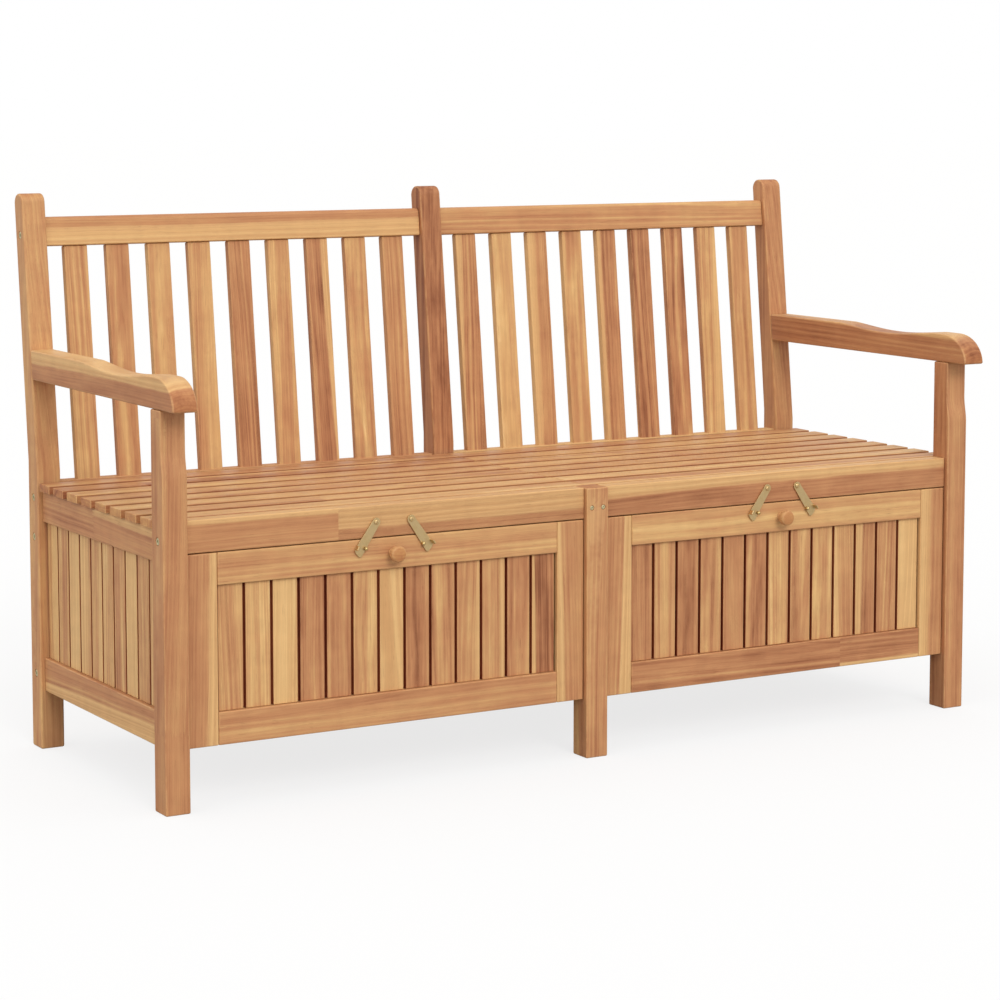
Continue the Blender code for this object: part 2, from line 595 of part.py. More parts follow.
def main():
    for piece in list(bpy.data.objects):
        bpy.data.objects.remove(piece, do_unlink=True)
    legs_and_posts()
    armrests()
    back()
    seat()
    frame_rails()
    side_boards()
    rear_panels()
    floors()
    for name, side in SIDES:
        door(f"{name}_door", side)


main()
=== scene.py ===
import bmesh
import bpy
import json
import math
import random
from mathutils import Matrix, Vector


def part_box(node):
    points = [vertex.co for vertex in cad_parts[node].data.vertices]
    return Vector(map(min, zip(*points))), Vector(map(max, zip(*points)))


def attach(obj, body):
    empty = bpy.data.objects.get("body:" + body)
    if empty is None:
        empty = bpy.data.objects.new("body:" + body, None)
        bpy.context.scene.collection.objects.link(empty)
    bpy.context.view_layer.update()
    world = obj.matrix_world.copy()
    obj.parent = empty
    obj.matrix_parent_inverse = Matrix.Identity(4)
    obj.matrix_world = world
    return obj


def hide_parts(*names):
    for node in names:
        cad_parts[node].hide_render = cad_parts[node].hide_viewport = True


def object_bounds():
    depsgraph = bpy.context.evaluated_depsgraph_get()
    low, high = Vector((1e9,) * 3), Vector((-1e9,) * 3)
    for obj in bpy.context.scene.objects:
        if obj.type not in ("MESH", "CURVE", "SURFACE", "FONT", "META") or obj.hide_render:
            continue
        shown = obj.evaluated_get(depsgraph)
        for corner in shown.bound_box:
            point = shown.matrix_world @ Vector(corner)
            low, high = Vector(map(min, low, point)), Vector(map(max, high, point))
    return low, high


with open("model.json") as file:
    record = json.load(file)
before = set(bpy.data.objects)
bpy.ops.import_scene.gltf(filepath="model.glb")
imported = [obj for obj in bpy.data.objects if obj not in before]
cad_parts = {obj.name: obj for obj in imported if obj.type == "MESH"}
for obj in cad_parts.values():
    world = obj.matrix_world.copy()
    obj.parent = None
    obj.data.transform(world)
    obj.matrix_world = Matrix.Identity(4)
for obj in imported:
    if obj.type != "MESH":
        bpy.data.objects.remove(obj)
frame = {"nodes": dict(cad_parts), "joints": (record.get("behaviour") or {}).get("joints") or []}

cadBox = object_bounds()
print("frame loaded with", len(frame["nodes"]), "nodes")

gap = 0.0003  # air between two pieces that touch
ends = (("left", -1), ("right", 1))
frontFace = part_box("front_leg_left")[0].y  # front of the legs
halfLength = cadBox[1].x
legWidth = 0.040
legInner = halfLength - legWidth
bayMiddle = (legInner + legWidth / 2) / 2
draw = random.Random(2207)


def behind(depth):
    return frontFace + depth  # Y of a place this far behind the front of the legs


def paint(red, green, blue):  # screen colour, 0 to 255, to the linear colour that a shader takes
    made = []
    for part in (red, green, blue):
        part = part / 255
        made.append(part / 12.92 if part <= 0.04045 else ((part + 0.055) / 1.055) ** 2.4)
    return (*made, 1.0)


def feed(tree, socket, value):
    if isinstance(value, bpy.types.NodeSocket):
        tree.links.new(value, socket)
    else:
        socket.default_value = value


def addNode(tree, kind, inputs=None, **settings):
    node = tree.nodes.new("ShaderNode" + kind)
    count = len(tree.nodes)
    node.location = (count % 12 * 190, -(count // 12) * 260)
    for name, value in settings.items():
        setattr(node, name, value)
    for socket, value in (inputs or {}).items():
        feed(tree, node.inputs[socket], value)
    return node


def split(tree, vector):
    return addNode(tree, "SeparateXYZ", {0: vector}).outputs


def maths(tree, operation, *values, clamp=False):
    return addNode(tree, "Math", dict(enumerate(values)), operation=operation, use_clamp=clamp).outputs[0]


def vectors(tree, operation, *values):
    node = addNode(tree, "VectorMath", dict(enumerate(values)), operation=operation)
    return node.outputs["Value" if operation == "LENGTH" else "Vector"]


def noise(tree, place, detail=2.0, roughness=0.5, flat=False, coloured=False):
    inputs = {"W" if flat else "Vector": place, "Scale": 1.0, "Detail": detail, "Roughness": roughness}
    node = addNode(tree, "TexNoise", inputs, noise_dimensions="1D" if flat else "3D")
    return node.outputs[1 if coloured else 0]


def stretchedNoise(tree, place, along, across, detail=2.0, roughness=0.5, coloured=False):
    stretched = vectors(tree, "MULTIPLY", place, (along, across, across))
    return noise(tree, stretched, detail, roughness, coloured=coloured)


def span(tree, value, low, high, toLow=0.0, toHigh=1.0, smooth=True):
    inputs = {"Value": value, "From Min": low, "From Max": high, "To Min": toLow, "To Max": toHigh}
    return addNode(tree, "MapRange", inputs, interpolation_type="SMOOTHSTEP" if smooth else "LINEAR").outputs[0]


def colourMix(tree, share, under, over, way="MIX"):
    inputs = {0: share, 6: under, 7: over}
    return addNode(tree, "Mix", inputs, data_type="RGBA", blend_type=way).outputs[2]


def grey(tree, value):
    return addNode(tree, "CombineColor", {0: value, 1: value, 2: value}).outputs[0]


def newGroup(name, inputs, outputs):
    group = bpy.data.node_groups.new(name, "ShaderNodeTree")
    for title, (kind, value) in inputs.items():
        socket = group.interface.new_socket(name=title, in_out="INPUT", socket_type="NodeSocket" + kind)
        if value is not None:
            socket.default_value = value
    for title, kind in outputs.items():
        group.interface.new_socket(name=title, in_out="OUTPUT", socket_type="NodeSocket" + kind)
    start = group.nodes.new("NodeGroupInput")
    end = group.nodes.new("NodeGroupOutput")
    end.location = (2600, 0)
    return group, start.outputs, end.inputs


def placeGroup(tree, group, inputs):
    return addNode(tree, "Group", inputs, node_tree=group).outputs


studio = {
    "cameraPlace": (-2.3818, -4.0370, 1.0622),
    "cameraPitch": -5.81,
    "cameraTurn": -30.31,
    "lens": 101.7,
    "shiftY": -0.12,
    "skyStrength": 0.92,
    "skyColour": (1.0, 0.99, 0.975),
    "keyStrength": 1.22,
    "keyToward": (-0.06, -0.83, 0.56),  # from the bench towards the lamp
    "keySoftness": 26,
    "fillStrength": 0.55,
    "fillToward": (-0.90, -0.20, 0.38),
    "fillSoftness": 70,
    "floorRadius": 60.0,
    "floorSeen": 0.83,
    "floorBounce": 0.42,  # how much of the light the floor throws back on the bench
    "floorGlow": 0.78,  # share of plain white in the floor, which softens the shadows that the camera sees
}


def setCamera(scene):
    camera = bpy.data.objects.new("studioCamera", bpy.data.cameras.new("studioCamera"))
    camera.location = studio["cameraPlace"]
    camera.rotation_euler = (math.radians(90 + studio["cameraPitch"]), 0, math.radians(studio["cameraTurn"]))
    camera.data.lens = studio["lens"]
    camera.data.shift_y = studio["shiftY"]
    camera.data.clip_end = 200
    scene.collection.objects.link(camera)
    scene.camera = camera


def setSky(scene):
    scene.view_settings.view_transform = "Standard"
    world = bpy.data.worlds.new("studioSky")
    scene.world = world
    world.use_nodes = True
    tree = world.node_tree
    sky = tree.nodes["Background"]
    sky.inputs["Color"].default_value = (*studio["skyColour"], 1)
    sky.inputs["Strength"].default_value = studio["skyStrength"]
    white = addNode(tree, "Background", {"Color": (1, 1, 1, 1)})
    seen = addNode(tree, "LightPath").outputs["Is Camera Ray"]
    shown = addNode(tree, "MixShader", {0: seen, 1: sky.outputs[0], 2: white.outputs[0]})
    feed(tree, tree.nodes["World Output"].inputs["Surface"], shown.outputs[0])


def setLamps(scene):
    for name in ("key", "fill"):
        lamp = bpy.data.objects.new(f"{name}Lamp", bpy.data.lights.new(f"{name}Lamp", "SUN"))
        lamp.data.energy = studio[f"{name}Strength"]
        lamp.data.angle = math.radians(studio[f"{name}Softness"])
        lamp.rotation_euler = Vector(studio[f"{name}Toward"]).to_track_quat("Z", "Y").to_euler()
        scene.collection.objects.link(lamp)


def setFloor(scene):
    form = bmesh.new()
    bmesh.ops.create_circle(form, cap_ends=True, radius=studio["floorRadius"], segments=96)
    mesh = bpy.data.meshes.new("studioFloor")
    form.to_mesh(mesh)
    form.free()
    ground = bpy.data.objects.new("studioFloor", mesh)
    scene.collection.objects.link(ground)
    finish = bpy.data.materials.new("paleFloor")
    finish.use_nodes = True
    tree = finish.node_tree
    shader = tree.nodes["Principled BSDF"]
    shader.inputs["Roughness"].default_value = 0.9
    shader.inputs["Specular IOR Level"].default_value = 0.0
    seen = addNode(tree, "LightPath").outputs["Is Camera Ray"]
    tones = {"Value": seen, "To Min": studio["floorBounce"], "To Max": studio["floorSeen"]}
    feed(tree, shader.inputs["Base Color"], addNode(tree, "MapRange", tones).outputs[0])
    glow = addNode(tree, "Emission")
    share = maths(tree, "MULTIPLY", seen, studio["floorGlow"])
    shown = addNode(tree, "MixShader", {0: share, 1: shader.outputs[0], 2: glow.outputs[0]})
    feed(tree, tree.nodes["Material Output"].inputs["Surface"], shown.outputs[0])
    mesh.materials.append(finish)


for setPart in (setCamera, setSky, setLamps, setFloor):
    setPart(bpy.context.scene)
print("camera, light and floor set")


grainLook = {
    "heartStops": (  # from the darkest heartwood to the palest
        (0.00, paint(138, 84, 55)),
        (0.20, paint(172, 115, 78)),
        (0.38, paint(189, 133, 91)),
        (0.54, paint(199, 148, 100)),
        (0.72, paint(211, 166, 111)),
        (0.88, paint(222, 181, 123)),
        (1.00, paint(231, 195, 139)),
    ),
    "sapPale": paint(226, 185, 127),
    "sapHoney": paint(208, 161, 107),
    "sapShare": 0.78,
    "knotBrown": paint(112, 60, 40),
    "knotRim": paint(170, 106, 70),
    "knotsLeftOut": 0.88,  # share of the places for a knot that hold none
    "poreBrown": paint(120, 70, 46),
    "endGrain": paint(214, 168, 112),
    "paintedJointShade": paint(178, 106, 98),  # painted shade: darkens what lies deep in an open joint
    "fingerPitch": 0.0026,  # half the pitch of the fingers in a glued joint
    "fingerSlope": 3.6,
    "staveShift": 0.30,  # how much the tone may change from stave to stave
    "weights": {"late": 0.46, "streak": 0.66, "cloud": 0.42, "flame": 0.34, "strand": 0.26, "fine": 0.12},
}


# three lucky numbers for each stave, and whether it is past a joint
def buildStaves(tree, given, place, chosen):
    look = grainLook
    seed, _, joint = chosen
    finger = maths(tree, "PINGPONG", maths(tree, "ADD", place[1], 0.5), look["fingerPitch"])
    reach = maths(tree, "MULTIPLY_ADD", finger, look["fingerSlope"], place[0])
    reach = maths(tree, "SUBTRACT", reach, joint)
    stave = maths(tree, "FLOOR", maths(tree, "DIVIDE", reach, given["Stave length"]))
    stave = maths(tree, "MINIMUM", maths(tree, "MAXIMUM", stave, -1.0), 3.0)
    turn = maths(tree, "MULTIPLY_ADD", stave, 0.377, seed)
    luck = addNode(tree, "TexWhiteNoise", {"W": turn}, noise_dimensions="1D")
    return split(tree, luck.outputs["Color"]), maths(tree, "GREATER_THAN", stave, -0.5)


def buildTrunk(tree, place, heart, luck, joined):  # where each point lay in the tree
    most = maths(tree, "MULTIPLY", joined, 0.11)
    swing = maths(tree, "MULTIPLY", maths(tree, "SUBTRACT", luck[1], 0.5), most)
    slope = maths(tree, "MULTIPLY", maths(tree, "SUBTRACT", luck[2], 0.5), 0.05)
    leaned = maths(tree, "MULTIPLY_ADD", place[0], slope, place[1])
    inTree = {
        0: maths(tree, "MULTIPLY_ADD", luck[0], 37.0, place[0]),
        1: maths(tree, "ADD", leaned, maths(tree, "ADD", heart[0], swing)),
        2: maths(tree, "ADD", place[2], maths(tree, "SUBTRACT", heart[1], swing)),
    }
    return addNode(tree, "CombineXYZ", inTree).outputs[0]


def sway(tree, place, along, across, far):
    moved = stretchedNoise(tree, place, along, across, 1.0, coloured=True)
    moved = vectors(tree, "SUBTRACT", moved, (0.5, 0.5, 0.5))
    return vectors(tree, "MULTIPLY", moved, (0.0, far, far))


def buildKnots(tree, inTree):  # how far the rings are pushed aside, and the knots themselves
    cells = addNode(tree, "TexVoronoi", voronoi_dimensions="3D")
    feed(tree, cells.inputs["Vector"], vectors(tree, "MULTIPLY", inTree, (2.7, 10.0, 10.0)))
    cells.inputs["Scale"].default_value = 1.0
    held = split(tree, cells.outputs["Color"])
    knotted = maths(tree, "GREATER_THAN", held[0], grainLook["knotsLeftOut"])
    near = maths(tree, "DIVIDE", cells.outputs["Distance"], 0.14)
    fall = maths(tree, "EXPONENT", maths(tree, "MULTIPLY", maths(tree, "MULTIPLY", near, near), -1.0))
    bulge = maths(tree, "MULTIPLY", fall, knotted)
    return bulge, maths(tree, "MULTIPLY", span(tree, cells.outputs["Distance"], 0.105, 0.02), knotted)


def buildGrain():
    look = grainLook
    tree, given, out = newGroup(
        "timberGrain",
        {
            "Place": ("Vector", None),  # along, across and through the timber, in metres
            "Heart": ("Vector", None),  # where the pith lay, then how far the sapwood starts from the middle
            "Look": ("Vector", None),  # seed, tone, and where the first glued joint is
            "Edges": ("Vector", None),  # rounded edge (wear and painted highlight), end grain, painted shade by depth in a joint
            "Stave length": ("Float", 0.47),
            "Contrast": ("Float", 1.0),
            "Ring width": ("Float", 1.0),
        },
        {"Colour": "Color", "Fibre": "Float", "Pores": "Float", "Height": "Float"},
    )
    place, heart, chosen, edges = (split(tree, given[name]) for name in ("Place", "Heart", "Look", "Edges"))
    luck, joined = buildStaves(tree, given, place, chosen)
    inTree = buildTrunk(tree, place, heart, luck, joined)
    bent = vectors(tree, "ADD", sway(tree, inTree, 1.3, 11.0, 0.022), sway(tree, inTree, 7.0, 52.0, 0.0034))
    grown = vectors(tree, "ADD", inTree, bent)
    radius = vectors(tree, "LENGTH", vectors(tree, "MULTIPLY", grown, (0.0, 1.0, 1.0)))
    bulge, knot = buildKnots(tree, inTree)
    radius = maths(tree, "MULTIPLY_ADD", bulge, 0.009, radius)

    # The tone starts from the timber's own and swings with rings, streaks and clouds.
    tight = maths(tree, "DIVIDE", radius, given["Ring width"])
    parts = {
        "late": noise(tree, maths(tree, "MULTIPLY", tight, 210.0), 2.0, 0.6, flat=True),
        "fine": noise(tree, maths(tree, "MULTIPLY", tight, 900.0), 1.0, 0.5, flat=True),
        "streak": stretchedNoise(tree, grown, 0.8, 44.0, 2.0, 0.55),
        "cloud": stretchedNoise(tree, grown, 11.0, 38.0, 3.0, 0.6),
        "strand": stretchedNoise(tree, inTree, 6.0, 270.0, 3.0, 0.6),
        "flame": stretchedNoise(tree, grown, 2.4, 120.0),
    }
    shift = maths(tree, "MULTIPLY", joined, look["staveShift"])
    shift = maths(tree, "MULTIPLY", maths(tree, "SUBTRACT", luck[0], 0.55), shift)
    depth = maths(tree, "ADD", chosen[1], shift)
    for name, weight in look["weights"].items():
        swing = maths(tree, "MULTIPLY", maths(tree, "SUBTRACT", parts[name], 0.5), given["Contrast"])
        depth = maths(tree, "MULTIPLY_ADD", swing, weight, depth)
    ramp = addNode(tree, "ValToRGB", {0: depth})
    stops = ramp.color_ramp.elements
    while len(stops) < len(look["heartStops"]):
        stops.new(0.5)
    for stop, (at, colour) in zip(stops, look["heartStops"]):
        stop.position, stop.color = at, colour

    # Sapwood begins at a ring, so its edge follows the grain.
    squares = [maths(tree, "MULTIPLY", heart[i], heart[i]) for i in (0, 1)]
    pithFar = maths(tree, "SQRT", maths(tree, "ADD", *squares))
    start = maths(tree, "ADD", pithFar, maths(tree, "MULTIPLY_ADD", shift, -0.06, heart[2]))
    softness = span(tree, parts["cloud"], 0.3, 0.7, 0.0007, 0.0046)
    sap = maths(tree, "DIVIDE", maths(tree, "SUBTRACT", radius, start), softness)
    sap = maths(tree, "MULTIPLY", span(tree, sap, -1.0, 1.0), look["sapShare"])
    sapShade = maths(tree, "ADD", parts["late"], maths(tree, "MULTIPLY", parts["streak"], 0.5))
    sapwood = colourMix(tree, span(tree, sapShade, 0.45, 1.0), look["sapHoney"], look["sapPale"])
    colour = colourMix(tree, sap, ramp.outputs[0], sapwood)
    colour = colourMix(tree, maths(tree, "MULTIPLY", bulge, 0.34), colour, look["knotRim"])
    colour = colourMix(tree, maths(tree, "MULTIPLY", knot, 0.62), colour, look["knotBrown"])

    # Fibres, pores and a faint cross figure lie on the surface; the cross figure is curly figure with a painted
    # sheen.
    fibre = stretchedNoise(tree, inTree, 16.0, 760.0, 2.0, 0.6)
    pores = span(tree, stretchedNoise(tree, inTree, 38.0, 1250.0, 1.0), 0.66, 0.76)
    # lighter and darker bands across the grain: wood figure and a painted sheen
    figureAndSheen = span(tree, stretchedNoise(tree, inTree, 44.0, 15.0), 0.3, 0.7, -0.035, 0.035, False)
    light = maths(tree, "ADD", span(tree, fibre, 0.25, 0.75, 0.925, 1.06, False), figureAndSheen)
    colour = colourMix(tree, 1.0, colour, grey(tree, light), "MULTIPLY")
    colour = colourMix(tree, maths(tree, "MULTIPLY", pores, 0.42), colour, look["poreBrown"])
    colour = colourMix(tree, maths(tree, "MULTIPLY", edges[1], 0.42), colour, look["endGrain"], "MULTIPLY")
    # painted shade deep in open joints and in the gaps between seat slats
    colour = colourMix(tree, maths(tree, "MULTIPLY", edges[2], 0.9), colour, look["paintedJointShade"], "MULTIPLY")
    feed(tree, out["Colour"], colour)
    feed(tree, out["Fibre"], fibre)
    feed(tree, out["Pores"], pores)
    feed(tree, out["Height"], maths(tree, "MULTIPLY_ADD", pores, -0.75, fibre))
    return tree


def buildWearAndHighlight():
    tree, given, out = newGroup(
        "edgeWearAndHighlight",
        {"Place": ("Vector", None), "Edge": ("Float", 0.0), "Patch size": ("Float", 0.03)},
        {"Worn": "Float"},
    )
    scale = maths(tree, "DIVIDE", 1.0, given["Patch size"])
    point = addNode(tree, "VectorMath", {0: given["Place"], "Scale": scale}, operation="SCALE")
    patch = noise(tree, point.outputs["Vector"], 3.0, 0.65)
    feed(tree, out["Worn"], maths(tree, "MULTIPLY", span(tree, patch, 0.32, 0.62), given["Edge"]))
    return tree


def buildMetal():
    tree, given, out = newGroup(
        "rolledMetal",
        {
            "Place": ("Vector", None),
            "Colour": ("Color", (0.5, 0.5, 0.5, 1)),
            "Tarnish": ("Color", (0.2, 0.2, 0.2, 1)),
            "Tarnish share": ("Float", 0.4),
            "Roughness": ("Float", 0.35),
        },
        {"Colour": "Color", "Roughness": "Float", "Height": "Float"},
    )
    rolled = noise(tree, vectors(tree, "MULTIPLY", given["Place"], (1900.0, 90.0, 1900.0)), 2.0, 0.6)
    speck = stretchedNoise(tree, given["Place"], 900.0, 900.0)
    stain = stretchedNoise(tree, given["Place"], 75.0, 75.0, 3.0, 0.6)
    amount = maths(tree, "MULTIPLY", span(tree, stain, 0.38, 0.72), given["Tarnish share"])
    colour = colourMix(tree, amount, given["Colour"], given["Tarnish"])
    lift = span(tree, speck, 0.3, 0.7, 0.93, 1.07, False)
    rough = maths(tree, "ADD", given["Roughness"], span(tree, rolled, 0.3, 0.7, -0.06, 0.08, False))
    feed(tree, out["Colour"], colourMix(tree, 1.0, colour, grey(tree, lift), "MULTIPLY"))
    feed(tree, out["Roughness"], maths(tree, "MULTIPLY_ADD", amount, 0.18, rough))
    feed(tree, out["Height"], maths(tree, "MULTIPLY_ADD", speck, 0.5, rolled))
    return tree


grainGroup = buildGrain()
wearAndHighlightGroup = buildWearAndHighlight()
metalGroup = buildMetal()


def readVector(tree, name):
    return addNode(tree, "Attribute", attribute_name=name, attribute_type="GEOMETRY").outputs["Vector"]


def addRelief(tree, shader, height, strength, distance):
    bump = addNode(tree, "Bump", {"Height": height, "Strength": strength, "Distance": distance})
    feed(tree, shader.inputs["Normal"], bump.outputs[0])


def timberFinish(name, contrast, ringWidth, roughness, relief, wornAndLit, wornAndLitColour):
    finish = bpy.data.materials.new(name)
    finish.use_nodes = True
    tree = finish.node_tree
    shader = tree.nodes["Principled BSDF"]
    shader.inputs["Specular IOR Level"].default_value = 0.22
    place, heart, look, edges = (
        readVector(tree, attribute) for attribute in ("timberPlace", "timberHeart", "timberLook", "timberEdges")
    )
    inputs = {"Place": place, "Heart": heart, "Look": look, "Edges": edges}
    grain = placeGroup(tree, grainGroup, {**inputs, "Contrast": contrast, "Ring width": ringWidth})
    wearAndHighlight = placeGroup(tree, wearAndHighlightGroup, {"Place": place, "Edge": split(tree, edges)[0]})
    # rounded edges paler: partly wear, partly a painted highlight
    wearAndHighlightMask = maths(tree, "MULTIPLY", wearAndHighlight["Worn"], wornAndLit)
    feed(tree, shader.inputs["Base Color"], colourMix(tree, wearAndHighlightMask, grain["Colour"], wornAndLitColour))
    rough = maths(tree, "MULTIPLY_ADD", maths(tree, "SUBTRACT", grain["Fibre"], 0.5), 0.22, roughness)
    rough = maths(tree, "MULTIPLY_ADD", grain["Pores"], 0.16, rough)
    feed(tree, shader.inputs["Roughness"], maths(tree, "MULTIPLY_ADD", wearAndHighlightMask, -0.10, rough, clamp=True))
    addRelief(tree, shader, grain["Height"], relief, 0.00035)
    return finish


def metalFinish(name, colour, tarnish, roughness, relief):
    finish = bpy.data.materials.new(name)
    finish.use_nodes = True
    tree = finish.node_tree
    shader = tree.nodes["Principled BSDF"]
    shader.inputs["Metallic"].default_value = 1.0
    place = readVector(tree, "metalPlace")
    edge = split(tree, readVector(tree, "metalEdges"))[0]
    inputs = {"Place": place, "Colour": colour, "Tarnish": tarnish}
    inputs |= {"Tarnish share": 0.5, "Roughness": roughness}
    metal = placeGroup(tree, metalGroup, inputs)
    wornAndLit = placeGroup(tree, wearAndHighlightGroup, {"Place": place, "Edge": edge, "Patch size": 0.004})["Worn"]
    # rubbed metal edges brighter: partly wear, partly a painted highlight
    bright = colourMix(tree, 1.0, metal["Colour"], (1.35, 1.33, 1.28, 1), "MULTIPLY")
    feed(tree, shader.inputs["Base Color"], colourMix(tree, wornAndLit, metal["Colour"], bright))
    feed(tree, shader.inputs["Roughness"], maths(tree, "MULTIPLY_ADD", wornAndLit, -0.10, metal["Roughness"]))
    addRelief(tree, shader, metal["Height"], relief, 0.00006)
    return finish


# name, contrast, ring width, roughness, relief, share of edge wear with painted highlight, and its colour
oiledTimber = timberFinish("oiledTimber", 1.05, 1.0, 0.50, 0.30, 0.30, paint(226, 183, 127))
stripedTimber = timberFinish("stripedTimber", 1.6, 0.8, 0.50, 0.32, 0.30, paint(226, 183, 127))
bareTimber = timberFinish("bareTimber", 0.9, 1.2, 0.66, 0.45, 0.20, paint(226, 190, 140))
knobTimber = timberFinish("knobTimber", 0.8, 0.6, 0.46, 0.22, 0.30, paint(224, 176, 122))
# name, colour, tarnish, roughness and relief
latchBrass = metalFinish("latchBrass", paint(214, 187, 138), paint(197, 166, 114), 0.46, 0.35)
pinBrass = metalFinish("pinBrass", paint(214, 190, 134), paint(186, 158, 100), 0.36, 0.20)
boltSteel = metalFinish("boltSteel", paint(212, 204, 168), paint(176, 164, 126), 0.42, 0.30)
print("finishes built")


noJoint = 50.0  # a place for a glued joint that is far past the end of every timber
sharpFrom = 0.6  # an outside edge that turns by more than this, in radians, gets rounded


def newForm():
    form = bmesh.new()
    form.verts.layers.float.new("wearAndHighlightMask")  # 1 on a rounded edge, where wear and a painted highlight go
    return form


def addBox(form, low, high):
    low, high = Vector(low), Vector(high)
    place = Matrix.Translation((low + high) / 2) @ Matrix.Diagonal((*(high - low), 1))
    bmesh.ops.create_cube(form, size=1, matrix=place)


def addPrism(form, outline, start, end):
    face = form.faces.new([form.verts.new(start(*point)) for point in outline])
    sweep = Vector(end(*outline[0])) - Vector(start(*outline[0]))
    made = bmesh.ops.extrude_face_region(form, geom=[face])["geom"]
    bmesh.ops.translate(form, vec=sweep, verts=[v for v in made if isinstance(v, bmesh.types.BMVert)])


def addTurned(form, profile, place=Matrix.Identity(4), sides=32):
    rings = []
    for along, radius in profile:
        if radius < 1e-7:
            rings.append([form.verts.new(place @ Vector((0, along, 0)))])
            continue
        turns = [2 * math.pi * i / sides for i in range(sides)]
        points = [Vector((radius * math.cos(t), along, radius * math.sin(t))) for t in turns]
        rings.append([form.verts.new(place @ point) for point in points])
    for one, other in zip(rings, rings[1:]):
        for i in range(sides):
            j = (i + 1) % sides
            corners = [one[i % len(one)], one[j % len(one)], other[j % len(other)], other[i % len(other)]]
            form.faces.new(dict.fromkeys(corners))


def arc(centre, radii, start, end, steps):
    turns = [math.radians(start + (end - start) * i / steps) for i in range(steps + 1)]
    return [(centre[0] + radii[0] * math.cos(t), centre[1] + radii[1] * math.sin(t)) for t in turns]


def easeEdges(form, radius, steps=3):
    bmesh.ops.recalc_face_normals(form, faces=form.faces)
    sharp = [e for e in form.edges if len(e.link_faces) == 2 and e.calc_face_angle_signed(0) > sharpFrom]
    rounded = bmesh.ops.bevel(
        form, geom=sharp, offset=radius, offset_type="OFFSET", segments=steps, profile=0.5,
        affect="EDGES", clamp_overlap=True,
    )["faces"]
    rounded = set(rounded)
    layer = form.verts.layers.float["wearAndHighlightMask"]
    for vert in form.verts:
        faces = vert.link_faces
        vert[layer] = 1.0 if faces and all(face in rounded for face in faces) else 0.0


def shapeFrom(name, form):
    bmesh.ops.recalc_face_normals(form, faces=form.faces)
    mesh = bpy.data.meshes.new(name)
    form.to_mesh(mesh)
    form.free()
    piece = bpy.data.objects.new(name, mesh)
    bpy.context.scene.collection.objects.link(piece)
    return piece


def carve(piece, forms):
    cutters = []
    for index, form in enumerate(forms):
        cutter = shapeFrom(f"{piece.name}Cutter{index}", form)
        cut = piece.modifiers.new("cut", "BOOLEAN")
        cut.operation, cut.solver, cut.object = "DIFFERENCE", "EXACT", cutter
        cutters.append(cutter)
    graph = bpy.context.evaluated_depsgraph_get()
    graph.update()
    shown = piece.evaluated_get(graph)
    cutMesh = bpy.data.meshes.new_from_object(shown, preserve_all_data_layers=True, depsgraph=graph)
    piece.modifiers.clear()
    piece.data = cutMesh
    for cutter in cutters:
        bpy.data.objects.remove(cutter)


def drill(piece, holes, lip=0.0006):
    forms = []
    for at, direction, radius, depth in holes:
        form = newForm()
        turn = Vector((0, 1, 0)).rotation_difference(Vector(direction)).to_matrix().to_4x4()
        rim = [(-0.004, 0), (-0.004, radius + lip), (0, radius + lip)]
        profile = rim + [(lip, radius), (depth, radius), (depth, 0)]
        addTurned(form, profile, Matrix.Translation(at) @ turn, 40)
        forms.append(form)
    carve(piece, forms)


def writeVectors(mesh, name, values):
    made = mesh.attributes.new(name, "FLOAT_VECTOR", "POINT")
    made.data.foreach_set("vector", [part for value in values for part in value])


def vertexNormals(mesh):
    sums = [Vector() for _ in mesh.vertices]
    for face in mesh.polygons:
        for index in face.vertices:
            sums[index] += face.normal * face.area
    return [total.normalized() if total.length else Vector((0, 0, 1)) for total in sums]


def wearAndHighlightMaskOf(mesh):
    held = mesh.attributes.get("wearAndHighlightMask")
    if not held or held.domain != "POINT":
        return [0.0] * len(mesh.vertices)
    values = [item.value for item in held.data]
    mesh.attributes.remove(held)
    return values


def smoothOff(piece, body, nodes, finish, sharp=50):
    piece.data.materials.clear()
    piece.data.materials.append(finish)
    piece.data.shade_smooth()
    piece.data.set_sharp_from_angle(angle=math.radians(sharp))
    steady = piece.modifiers.new("steadyNormals", "WEIGHTED_NORMAL")
    steady.keep_sharp = True
    steady.weight = 60
    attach(piece, body)
    if nodes:
        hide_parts(*nodes)
    return piece


